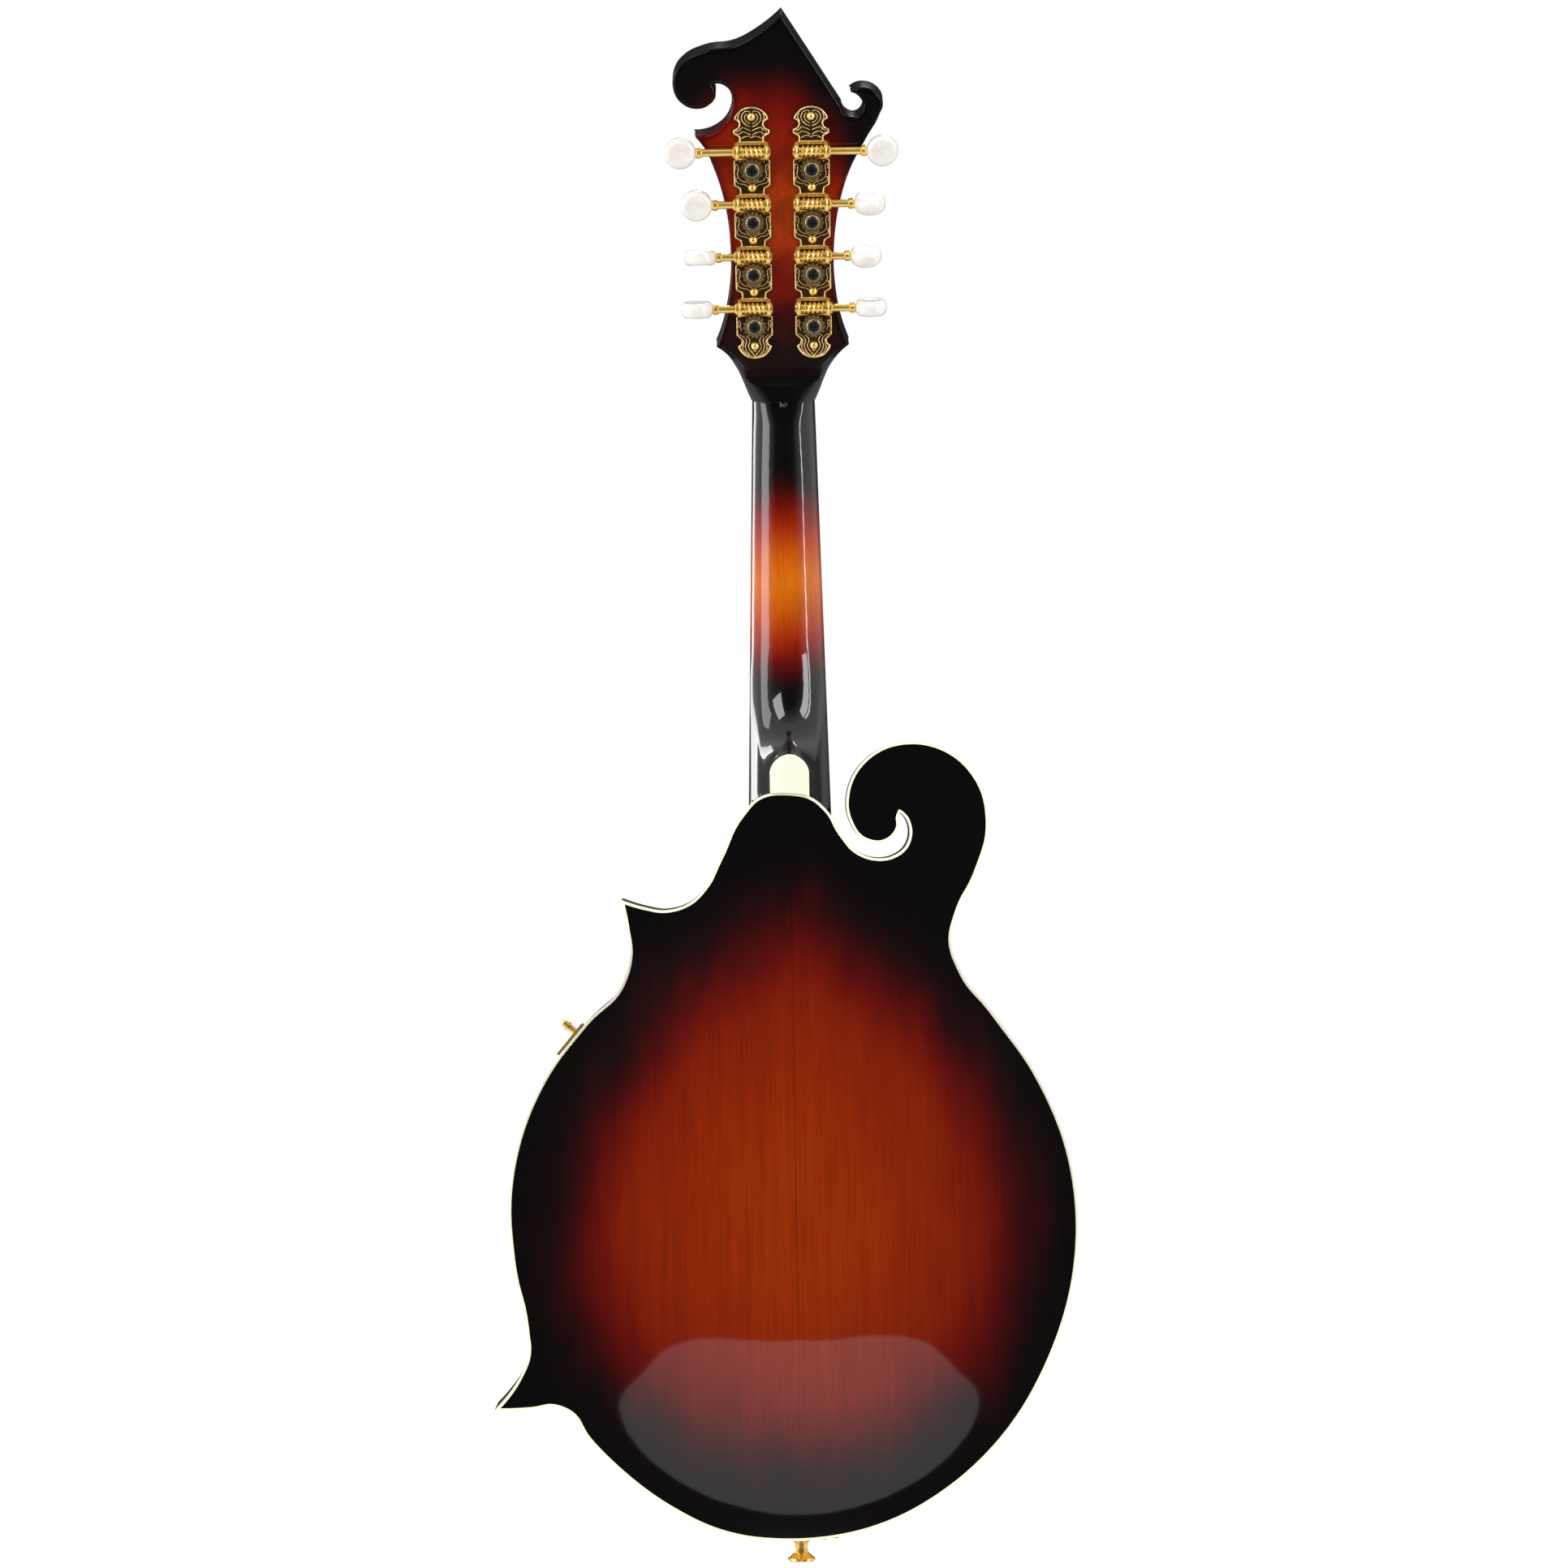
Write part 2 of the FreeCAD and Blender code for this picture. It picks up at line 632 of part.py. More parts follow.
def through(radius, x, y0, y1, z):
    return rod(radius, FreeCAD.Vector(x, y0, z), FreeCAD.Vector(x, y1, z))


def worm_profile():
    # A threaded middle between two bearings, turned about the X axis.
    points = [(-upright_inner + running_clearance, worm_core)]
    x = -2.5 * worm_pitch
    while x < 2.6 * worm_pitch:
        points.append((x - 0.42 * worm_pitch, worm_core))
        points.append((x - 0.14 * worm_pitch, worm_tip))
        points.append((x + 0.14 * worm_pitch, worm_tip))
        points.append((x + 0.42 * worm_pitch, worm_core))
        x += worm_pitch
    points.append((upright_inner - running_clearance, worm_core))
    return [(x, r) for x, r in points if abs(x) <= upright_inner - running_clearance]


def worm_shaft(side, middle, centre, reach):
    # Turned in one piece: end collar, bearing, worm, bearing, collar, stem.
    stem_end = reach - button_radius + 4.0
    outside = upright_outer + running_clearance
    points = [
        (-outside - 0.9, 0.0), (-outside - 0.9, 1.6), (-outside - 0.4, 2.3), (-outside, 2.3),
        (-outside, shaft_radius), (-upright_inner + running_clearance, shaft_radius),
    ]
    points += worm_profile()
    points += [
        (upright_inner - running_clearance, shaft_radius), (outside, shaft_radius),
        (outside, 2.7), (outside + 1.0, 2.7), (outside + 1.0, shaft_radius),
        (stem_end, shaft_radius), (stem_end, 0.0),
    ]
    corners = [FreeCAD.Vector(x, r, 0) for x, r in points]
    face = Part.Face(Part.makePolygon(corners + [corners[0]]))
    shape = face.revolve(FreeCAD.Vector(0, 0, 0), FreeCAD.Vector(1, 0, 0), 360)
    if side < 0:
        shape.rotate(FreeCAD.Vector(0, 0, 0), FreeCAD.Vector(0, 0, 1), 180)
    shape.translate(FreeCAD.Vector(middle, worm_y, centre + worm_distance))
    return shape


def tuner_button(side, middle, centre, reach, turn):
    half = button_thickness / 2
    disc = Part.makeCylinder(
        button_radius, button_thickness, FreeCAD.Vector(0, -half, 0), FreeCAD.Vector(0, 1, 0))
    disc = disc.makeFillet(1.9, [e for e in disc.Edges if abs(abs(e.CenterOfMass.y) - half) < 1e-6])
    disc.rotate(FreeCAD.Vector(0, 0, 0), FreeCAD.Vector(1, 0, 0), turn)
    start = -side * button_radius
    socket = across(shaft_radius, start * 1.2, start + side * 4.0, 0, 0)
    disc = disc.cut(socket)
    disc.translate(FreeCAD.Vector(middle + side * reach, worm_y, centre + worm_distance))
    return disc


def gear_wheel(x, centre):
    points = []
    for i in range(gear_teeth):
        for part, radius in ((-0.32, gear_root), (-0.16, gear_tip), (0.16, gear_tip), (0.32, gear_root)):
            angle = 2 * math.pi * (i + part) / gear_teeth
            points.append((x + radius * math.sin(angle), centre + radius * math.cos(angle)))
    low = worm_y - gear_thickness / 2
    return slab(straight_outline(points), low, low + gear_thickness)


def post_gear(x, centre):
    # The string post, the gear on its end and the gear's screw, three solids.
    low = worm_y - gear_thickness / 2
    post = through(post_radius, x, low, 12.0, centre)
    post = post.cut(across(0.6, x - 5, x + 5, 6.0, centre))
    hub = through(4.2, x, low + gear_thickness, plate_face - running_clearance, centre)
    wheel = gear_wheel(x, centre).fuse(hub).cut(through(post_radius, x, -40, 20, centre))
    post = post.cut(through(1.2, x, low - 1, low + 7, centre))
    head = through(2.85, x, low - 1.7, low, centre)
    head = head.makeFillet(0.8, [e for e in head.Edges if abs(e.CenterOfMass.y - (low - 1.7)) < 1e-6])
    slot = block(x - 0.35, x + 0.35, low - 2, low - 0.8, centre - 1.5, centre + 1.5)
    slot = slot.fuse(block(x - 1.5, x + 1.5, low - 2, low - 0.8, centre - 0.35, centre + 0.35))
    screw = head.cut(slot).fuse(through(1.2, x, low - 0.1, low + 6.5, centre))
    return [post, wheel, screw]


def screw_spots(middle):
    spots = [(middle, first_post + 3 * post_spacing + 23.4)]
    for i in range(1, 4):
        spots.append((middle, first_post + i * post_spacing - 9.0))
    spots.append((middle, first_post - 10.0))
    return spots


def round_screw(x, z, face, length, head_radius, shank_radius):
    # A round-headed wood screw driven towards +Y, its head on a face.
    ball = Part.makeSphere(head_radius * 1.06, FreeCAD.Vector(x, face + 0.35, z))
    head = ball.common(block(x - 4, x + 4, face - 4, face, z - 4, z + 4))
    return head.fuse(through(shank_radius, x, face - 0.2, face + length, z))


tuner_plates = {}
wood_screws = []
bushings = []
tuner_nodes = {}
post_tools = []
for name, side, reaches, turns in (
        ("left", -1, left_button_reach, left_button_turn),
        ("right", 1, right_button_reach, right_button_turn)):
    middle = headstock_middle + side * plate_offset
    plate = slab(tuner_plate_outline(middle), plate_face, plate_back)
    for i in range(4):
        centre = first_post + i * post_spacing
        worm_z = centre + worm_distance
        for x0, x1 in ((-upright_outer, -upright_inner), (upright_inner, upright_outer)):
            plate = plate.fuse(upright(middle + x0, middle + x1, worm_z))
        plate = plate.cut(across(shaft_radius + running_clearance, middle - 12, middle + 12, worm_y, worm_z))
        plate = plate.cut(through(post_radius + running_clearance, middle, -30, 0, centre))
        post_tools.append(through(4.2, middle, -headstock_back - 1, -3.0, centre))
        post_tools.append(through(4.9, middle, -5.0, 1.0, centre))
        bush = through(4.9, middle, -5.0, 0.0, centre).fuse(through(6.2, middle, 0.0, 1.2, centre))
        bushings.append(on_head(bush.cut(through(post_radius + running_clearance, middle, -9, 9, centre))))
        number = str(i + 1)
        tuner_nodes["worm_shaft_" + name + "_" + number] = [
            on_head(worm_shaft(side, middle, centre, reaches[i]))]
        tuner_nodes["tuner_button_" + name + "_" + number] = [
            on_head(tuner_button(side, middle, centre, reaches[i], turns[i]))]
        tuner_nodes["post_gear_" + name + "_" + number] = [
            on_head(s) for s in post_gear(middle, centre)]
    for x, z in screw_spots(middle):
        shank = through(0.9, x, plate_face - 1, plate_face + 8.0, z)
        plate = plate.cut(shank)
        post_tools.append(shank)
        wood_screws.append(on_head(round_screw(x, z, plate_face, 8.0, 1.85, 0.9)))
    tuner_plates[name] = on_head(one_solid(plate))

for x, z in cover_screw_spots:
    screw = through(0.8, x, -6.0, 1.7, z).fuse(
        through(1.5, x, 1.6, 2.4, z))
    shank = through(0.8, x, -6.0, 3.0, z)
    truss_rod_cover = truss_rod_cover.cut(shank)
    post_tools.append(shank)
    wood_screws.append(on_head(screw))
truss_rod_cover = on_head(one_solid(truss_rod_cover))

for tool in post_tools:
    tool = on_head(tool)
    neck = neck.cut(tool)
    headstock_overlay = headstock_overlay.cut(tool)
neck = one_solid(neck)
headstock_overlay = one_solid(headstock_overlay)

# ------------------------------------------------------------------- bridge

bridge_z = -scale_length
tilt = math.tan(math.radians(neck_pitch))
string_y = scale_length * tilt + string_lift_bridge
arch_top = soundboard_edge + top_arch * arch(0, bridge_z)
base_top = arch_top + base_height
wheel_low = base_top + 0.6
saddle_low = wheel_low + wheel_thickness + wheel_gap

base_points = [
    (-62.0, bridge_z - 5.5), (62.0, bridge_z - 5.5), (62.0, bridge_z + 5.5), (-62.0, bridge_z + 5.5)]
bridge_base = slab(straight_outline(base_points), soundboard_edge, base_top)
shoulder = Part.Face(Part.makePolygon([
    FreeCAD.Vector(-70, base_top + 1, 0), FreeCAD.Vector(-46, base_top + 1, 0),
    FreeCAD.Vector(-46, base_top - 0.1, 0), FreeCAD.Vector(-62, base_top - 5.5, 0),
    FreeCAD.Vector(-70, base_top - 5.5, 0), FreeCAD.Vector(-70, base_top + 1, 0)]))
shoulder = shoulder.extrude(FreeCAD.Vector(0, 0, 40))
shoulder.translate(FreeCAD.Vector(0, 0, bridge_z - 20))
other = shoulder.mirror(FreeCAD.Vector(0, 0, 0), FreeCAD.Vector(1, 0, 0))
bridge_base = bridge_base.cut(shoulder).cut(other).cut(under_top)
bridge_base = bridge_base.cut(Part.makeCylinder(
    13.0, 40, FreeCAD.Vector(0, arch_top - 9.5, bridge_z - 20), FreeCAD.Vector(0, 0, 1)))
bridge_base = one_solid(bridge_base)

saddle_points = [
    (-58.0, saddle_low + 4.0), (-50.0, saddle_low), (50.0, saddle_low), (58.0, saddle_low + 4.0),
    (52.0, saddle_low + 6.5), (27.0, string_y - 0.3), (0.0, string_y + 0.3), (-27.0, string_y - 0.3),
    (-52.0, saddle_low + 6.5),
]
saddle_face = Part.Face(Part.makePolygon(
    [FreeCAD.Vector(x, y, bridge_z - 3.5) for x, y in saddle_points + [saddle_points[0]]]))
bridge_saddle = saddle_face.extrude(FreeCAD.Vector(0, 0, 7.0))
bridge_posts = []
thumbwheels = {}
for name, side in (("left", -1), ("right", 1)):
    x = side * bridge_post_spread / 2
    post = through(bridge_post_radius, x, base_top - 6.0, saddle_low + 6.0, bridge_z)
    bridge_posts.append(post)
    bridge_base = bridge_base.cut(post)
    bore = through(bridge_post_radius + running_clearance, x, saddle_low - 5, saddle_low + 7.4, bridge_z)
    bridge_saddle = bridge_saddle.cut(bore)
    wheel = through(wheel_radius, x, wheel_low, wheel_low + wheel_thickness, bridge_z).cut(bore)
    for i in range(24):
        angle = 2 * math.pi * i / 24
        groove = through(
            0.35, x + wheel_radius * math.cos(angle), wheel_low - 1, saddle_low + 1,
            bridge_z + wheel_radius * math.sin(angle))
        wheel = wheel.cut(groove)
    thumbwheels[name] = wheel
bridge_saddle = one_solid(bridge_saddle)
bridge_base = one_solid(bridge_base)

# ------------------------------------------------------------------ strings

course_gauges = (0.50, 0.33, 0.19, 0.14)
hook_y = soundboard_edge + 9.2
hook_z = -476.0
strings = []
hooks = []
post_order = {0: 0, 1: 1, 2: 2, 3: 3, 4: 3, 5: 2, 6: 1, 7: 0}
for number in range(8):
    course = number // 2
    twin = (number % 2) * 2 - 1
    gauge = course_gauges[course]
    spread = course - 1.5
    nut_x = -(spread * 6.9 + twin * 1.0)
    saddle_x = -(spread * 12.0 + twin * 1.4)
    hook_x = -(spread * 6.6 + twin * 1.6)
    side = 1 if course < 2 else -1
    post_x = headstock_middle + side * plate_offset
    post_z = first_post + post_order[number] * post_spacing
    tie = head_place.multVec(FreeCAD.Vector(
        post_x - side * (post_radius + gauge + running_clearance), 4.0, post_z))
    over_nut = neck_place.multVec(FreeCAD.Vector(nut_x, string_lift, nut_length / 2))
    over_saddle = FreeCAD.Vector(saddle_x, string_y + gauge * 0.4, bridge_z)
    anchor = FreeCAD.Vector(hook_x, hook_y, hook_z + 1.0)
    wire = rod(gauge, tie, over_nut).fuse([
        Part.makeSphere(gauge, over_nut), rod(gauge, over_nut, over_saddle),
        Part.makeSphere(gauge, over_saddle), rod(gauge, over_saddle, anchor)])
    strings.append(wire)
    hooks.append(hook_x)
nut_block = on_neck(nut_block)
for wire in strings:
    nut_block = nut_block.cut(wire)
    bridge_saddle = bridge_saddle.cut(wire)
nut_block = one_solid(nut_block)
bridge_saddle = one_solid(bridge_saddle)

# ---------------------------------------------------------------- tailpiece

tail_plate_low = soundboard_edge + 6.3
tail_plate_high = tail_plate_low + 1.2
tailpiece_base = block(-17, 17, tail_plate_low, tail_plate_high, tail_z - 1.2, -466)
tailpiece_base = tailpiece_base.fuse(block(-17, 17, -16, tail_plate_high, tail_z - 1.2, tail_z))
for x in hooks:
    hook = rod(0.8, FreeCAD.Vector(x, tail_plate_low + 0.5, hook_z - 0.2),
               FreeCAD.Vector(x, tail_plate_high + 3.4, hook_z - 0.2))
    tailpiece_base = tailpiece_base.fuse(hook)
tailpiece_base = one_solid(tailpiece_base)


def cover_section(w, h, z):
    y = tail_plate_high + 0.1
    curve = Part.BSplineCurve()
    curve.interpolate([
        FreeCAD.Vector(-w, y, z), FreeCAD.Vector(-0.93 * w, y + 0.7 * h, z),
        FreeCAD.Vector(-0.6 * w, y + 0.96 * h, z), FreeCAD.Vector(0, y + h, z),
        FreeCAD.Vector(0.6 * w, y + 0.96 * h, z), FreeCAD.Vector(0.93 * w, y + 0.7 * h, z),
        FreeCAD.Vector(w, y, z)])
    return Part.Wire([
        curve.toShape(), Part.makeLine(FreeCAD.Vector(w, y, z), FreeCAD.Vector(-w, y, z))])


cover_outer = Part.makeLoft([
    cover_section(18.6, 8.6, tail_z - 2.6), cover_section(20.0, 10.5, -485), cover_section(18.8, 11.6, -455)],
    True, False)
cover_inner = Part.makeLoft([
    cover_section(17.6, 7.6, tail_z - 1.5), cover_section(19.0, 9.5, -485), cover_section(17.8, 10.6, -454)],
    True, False)
cover_inner.translate(FreeCAD.Vector(0, -0.01, 0))
tailpiece_cover = one_solid(cover_outer.cut(cover_inner))

# ------------------------------------------------------------- strap button

button_axis_y = -9.0
hole_for_pin = rod(2.0, FreeCAD.Vector(0, button_axis_y, tail_z + 22), FreeCAD.Vector(0, button_axis_y, tail_z - 3))


def turned(profile, z_face, y):
    # A turned piece about a line along Z; profile is (radius, distance out).
    points = [FreeCAD.Vector(r, y, z_face - out) for r, out in profile]
    face = Part.Face(Part.makePolygon(points + [points[0]]))
    return face.revolve(FreeCAD.Vector(0, y, 0), FreeCAD.Vector(0, 0, 1), 360)


strap_button = turned([
    (0.0, -20.0), (2.0, -20.0), (2.0, 1.2), (4.6, 1.2), (4.6, 2.2), (3.1, 3.6), (2.7, 6.0),
    (3.4, 8.0), (5.2, 9.6), (6.25, 10.4), (6.25, 11.4), (5.4, 12.0), (0.0, 12.0)],
    tail_z, button_axis_y)
tail_block = one_solid(tail_block.cut(hole_for_pin))
rim = one_solid(rim.cut(hole_for_pin))
tailpiece_base = tailpiece_base.cut(hole_for_pin)
for x, y in ((-10.0, -10.0), (10.0, -10.0), (0.0, 3.0)):
    shank = rod(1.1, FreeCAD.Vector(x, y, tail_z - 2), FreeCAD.Vector(x, y, tail_z + 10))
    head = rod(2.3, FreeCAD.Vector(x, y, tail_z - 2.2), FreeCAD.Vector(x, y, tail_z - 1.2))
    wood_screws.append(head.fuse(shank.common(block(-20, 20, -20, 20, tail_z - 1.3, tail_z + 10))))
    tailpiece_base = tailpiece_base.cut(shank)
    rim = rim.cut(shank)
    tail_block = tail_block.cut(shank)
tailpiece_base = one_solid(tailpiece_base)
rim = one_solid(rim)
tail_block = one_solid(tail_block)

# ---------------------------------------------------------------- pickguard

guard_low = soundboard_edge + 14.5
guard_points = [
    (-21.5, -200.0), (-21.5, -268.0), (-34.0, -334.0), (-60.0, -338.0), (-76.0, -300.0),
    (-56.0, -242.0), (-28.0, -211.0), (-21.5, -200.0)]
guard_edges = []
for run in (guard_points[0:2], guard_points[1:3]):
    guard_edges.append(Part.makeLine(flat(*run[0]), flat(*run[1])))
curve_points = [flat(x, z) for x, z in guard_points[2:]]
guard_edges.extend(smooth_edges(curve_points, directions(curve_points)))
pickguard = slab(Part.Wire(Part.__sortEdges__(guard_edges)), guard_low, guard_low + 1.6)

# The bracket's own frame: origin on the rim, +X inwards, Z along the rim.
stud_spot = flat(-98.5, -285.3)
on_rim = outer_wire.distToShape(Part.Vertex(stud_spot))[1][0][0]
ahead = outer_wire.distToShape(Part.Vertex(stud_spot + FreeCAD.Vector(3, 0, 3.5)))[1][0][0]
behind = outer_wire.distToShape(Part.Vertex(stud_spot - FreeCAD.Vector(3, 0, 3.5)))[1][0][0]
rim_way = unit(ahead - behind)
lean = math.degrees(math.atan2(rim_way.x, rim_way.z))
bracket_place = FreeCAD.Placement(
    on_rim, FreeCAD.Rotation(FreeCAD.Vector(0, 1, 0), lean))
stud_y = 3.0
bracket_top = guard_low
arm = block(-1.3, 36.0, bracket_top - 1.4, bracket_top, -4.0, 4.0)
leg = block(-1.3, 0.0, stud_y - 9.0, bracket_top, -4.0, 4.0)
foot = block(-1.5, 0.0, stud_y - 4.5, stud_y + 4.5, -13.0, 4.0)
bracket = arm.fuse([leg, foot])
stud = rod(1.5, FreeCAD.Vector(-0.2, stud_y, 0), FreeCAD.Vector(-7.6, stud_y, 0))
stud = stud.fuse(Part.makeSphere(1.5, FreeCAD.Vector(-7.6, stud_y, 0)))
stud_ring = rod(2.2, FreeCAD.Vector(-5.0, stud_y, 0), FreeCAD.Vector(-5.9, stud_y, 0))
bracket = one_solid(placed(bracket.fuse([stud, stud_ring]), bracket_place))

# ------------------------------------------------------------------ writing

nodes = {
    "soundboard": [soundboard],
    "back_plate": [back_plate],
    "rim": [rim],
    "head_block": [head_block],
    "tail_block": [tail_block],
    "point_blocks": [upper_point, lower_point],
    "linings": linings,
    "tone_bars": tone_bars,
    "top_binding": [top_binding],
    "back_binding": [back_binding],
    "neck": [neck],
    "heel_cap": [heel_cap],
    "headstock_overlay": [headstock_overlay],
    "truss_rod": [on_neck(truss_rod)],
    "truss_rod_nut": [on_neck(truss_rod_nut)],
    "truss_rod_cover": [truss_rod_cover],
    "fingerboard": [on_neck(fingerboard)],
    "fingerboard_riser": [riser],
    "frets": [on_neck(fret) for fret in frets],
    "position_dots": [on_neck(dot) for dot in position_dots],
    "nut": [nut_block],
    "tuner_plate_left": [tuner_plates["left"]],
    "tuner_plate_right": [tuner_plates["right"]],
    "wood_screws": wood_screws,
    "post_bushings": bushings,
    "strings": strings,
    "bridge_base": [bridge_base],
    "bridge_saddle": [bridge_saddle],
    "bridge_posts": bridge_posts,
    "thumbwheel_left": [thumbwheels["left"]],
    "thumbwheel_right": [thumbwheels["right"]],
    "tailpiece_base": [tailpiece_base],
    "tailpiece_cover": [tailpiece_cover],
    "strap_button": [strap_button],
    "pickguard": [pickguard],
    "pickguard_bracket": [bracket],
}
nodes.update(tuner_nodes)

for name, solids in nodes.items():
    shape = solids[0] if len(solids) == 1 else Part.makeCompound(solids)
    if not shape.isValid():
        print("not valid:", name)
    shape.exportStep("parts/" + name + ".step")
print(len(nodes), "nodes written")
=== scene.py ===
# %% [markdown]
# # A carved mandolin, finished in Blender
# The instrument's shape, joints and sizes come from its CAD model, which is
# loaded here as a fixed frame. This lesson gives it the looks of the real
# thing: shaded lacquer over maple and spruce, cut pearl, gold plate and
# engraved tuner plates. Each step says what the piece is, how it could be
# made, and why one way was picked.

# %% Load the frame
import bpy
import bmesh
import math
import numpy as np
from mathutils import Matrix, Vector
from mathutils.geometry import delaunay_2d_cdt


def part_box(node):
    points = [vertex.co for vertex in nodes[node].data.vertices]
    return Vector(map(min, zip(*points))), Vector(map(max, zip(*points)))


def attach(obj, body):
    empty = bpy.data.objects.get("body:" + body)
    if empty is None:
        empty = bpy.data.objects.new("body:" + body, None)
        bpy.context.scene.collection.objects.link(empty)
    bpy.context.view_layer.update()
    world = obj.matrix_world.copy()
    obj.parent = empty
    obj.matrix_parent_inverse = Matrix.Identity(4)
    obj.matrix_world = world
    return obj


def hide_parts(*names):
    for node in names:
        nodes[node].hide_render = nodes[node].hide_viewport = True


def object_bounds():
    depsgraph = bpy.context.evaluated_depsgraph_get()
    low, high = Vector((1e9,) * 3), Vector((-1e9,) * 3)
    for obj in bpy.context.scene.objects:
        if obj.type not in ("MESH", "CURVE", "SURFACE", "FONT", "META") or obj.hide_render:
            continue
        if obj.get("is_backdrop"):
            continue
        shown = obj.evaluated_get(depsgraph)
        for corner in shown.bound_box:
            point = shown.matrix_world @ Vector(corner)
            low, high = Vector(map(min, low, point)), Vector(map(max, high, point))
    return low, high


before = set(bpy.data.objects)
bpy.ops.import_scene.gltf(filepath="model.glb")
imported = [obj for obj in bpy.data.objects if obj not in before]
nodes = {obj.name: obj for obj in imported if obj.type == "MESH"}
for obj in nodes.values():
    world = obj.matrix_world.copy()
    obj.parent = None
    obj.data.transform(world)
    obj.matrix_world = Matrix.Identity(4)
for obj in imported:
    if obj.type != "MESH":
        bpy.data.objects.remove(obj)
cad_low, cad_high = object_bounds()
print("CAD box, mm:", [round(1000 * (b - a), 1) for a, b in zip(cad_low, cad_high)])
mm = 0.001

# %% [markdown]
# ## Sizes that the visual pieces share with the CAD model
# The neck leans back from the body and the headstock leans back from the
# neck. Every tuner piece is easiest to draw flat, in the headstock's own
# frame, so two placement matrices carry flat drawings to their real places.

# %% Placements of the neck and the headstock
neck_pitch = 5.5
headstock_tilt = 13.5
nut_length = 4.5
back_edge = -33.2
soundboard_edge = 11.8
first_post = 36.5
post_spacing = 24.0
headstock_middle = 0.8
plate_offset = 13.3
headstock_back = -14.5
plate_face = headstock_back - 1.2
worm_y = plate_face - 3.2
worm_distance = 8.1

lean_neck = np.array(Matrix.Rotation(math.radians(neck_pitch), 3, "X"))
lean_head = np.array(Matrix.Rotation(math.radians(headstock_tilt), 3, "X"))


def on_head(points):
    """Points in mm in the headstock's frame, taken to the row frame in mm."""
    moved = np.asarray(points, float) @ lean_head.T + np.array([0, 0, nut_length])
    return moved @ lean_neck.T


def off_neck(points):
    return np.asarray(points, float) @ lean_neck


def off_head(points):
    return (off_neck(points) - np.array([0, 0, nut_length])) @ lean_head


tip = on_head([[0, 0, 178]])[0]
print("headstock tip in the row frame, mm:", tip.round(1))

# %% [markdown]
# ## Two small helpers
# A piece is built as plain lists of points and faces in millimetres, then
# written once as a mesh in metres. Giving it its body at the same moment
# keeps every moving part on the right joint.

# %% Mesh from points and faces
def make_piece(name, points, faces, material, body="instrument", stands_for=(),
               smooth=True, sharp=None):
    mesh = bpy.data.meshes.new(name)
    mesh.from_pydata((np.asarray(points, float) * mm).tolist(), [], [list(f) for f in faces])
    mesh.validate()
    piece = bpy.data.objects.new(name, mesh)
    bpy.context.scene.collection.objects.link(piece)
    work = bmesh.new()
    work.from_mesh(mesh)
    bmesh.ops.remove_doubles(work, verts=work.verts, dist=1e-7)
    bmesh.ops.recalc_face_normals(work, faces=work.faces)
    work.to_mesh(mesh)
    work.free()
    mesh.shade_smooth() if smooth else mesh.shade_flat()
    if sharp is not None:
        mesh.set_sharp_from_angle(angle=math.radians(sharp))
    if material is not None:
        mesh.materials.append(material)
    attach(piece, body)
    if stands_for:
        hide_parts(*stands_for)
    print(name, len(mesh.vertices), "points")
    return piece


def join_parts(parts):
    """Several (points, faces) pairs as one."""
    points, faces, start = [], [], 0
    for some_points, some_faces in parts:
        points.append(np.asarray(some_points, float))
        faces += [[i + start for i in face] for face in some_faces]
        start += len(some_points)
    return np.concatenate(points), faces


# %% [markdown]
# ## Reading an outline off a CAD piece
# The back, the rim and the veneers share outlines that the CAD model already
# knows. The edge of a flat face is where a triangle side is used only once.
# Chaining those sides gives the outline, and a curve through its points
# takes out the flats that a mesh leaves between them.

# %% Outline helpers
def face_loops(node, keep, turn=None):
    """Closed outlines, in mm, of the faces of a node that keep(centres, normals) picks."""
    mesh = nodes[node].data
    co = np.array([v.co for v in mesh.vertices], float) / mm
    if turn is not None:
        co = turn(co)
    spots, ids = np.unique(np.round(co, 3), axis=0, return_inverse=True)
    ids = ids.reshape(-1)
    corners = ids[np.array([p.vertices[:] for p in mesh.polygons])]
    a, b, c = (spots[corners[:, i]] for i in range(3))
    normals = np.cross(b - a, c - a)
    normals /= np.linalg.norm(normals, axis=1)[:, None] + 1e-12
    corners = corners[keep((a + b + c) / 3, normals)]
    uses = {}
    for x, y, z in corners.tolist():
        for side in ((x, y), (y, z), (z, x)):
            key = (min(side), max(side))
            uses[key] = uses.get(key, 0) + 1
    joined = {}
    for (p, q), count in uses.items():
        if count == 1 and p != q:
            joined.setdefault(p, []).append(q)
            joined.setdefault(q, []).append(p)
    loops = []
    while joined:
        at = start = next(iter(joined))
        loop = [start]
        while joined.get(at):
            after = joined[at].pop()
            joined[after].remove(at)
            if after == start:
                break
            loop.append(after)
            at = after
        joined = {k: v for k, v in joined.items() if v}
        if len(loop) > 2:
            loops.append(spots[loop][:, [0, 2]])
    loops.sort(key=lambda l: -abs(area_of(l)))
    return [l if area_of(l) > 0 else l[::-1] for l in loops]


def area_of(loop):
    x, z = loop[:, 0], loop[:, 1]
    return 0.5 * float(np.sum(x * np.roll(z, -1) - np.roll(x, -1) * z))


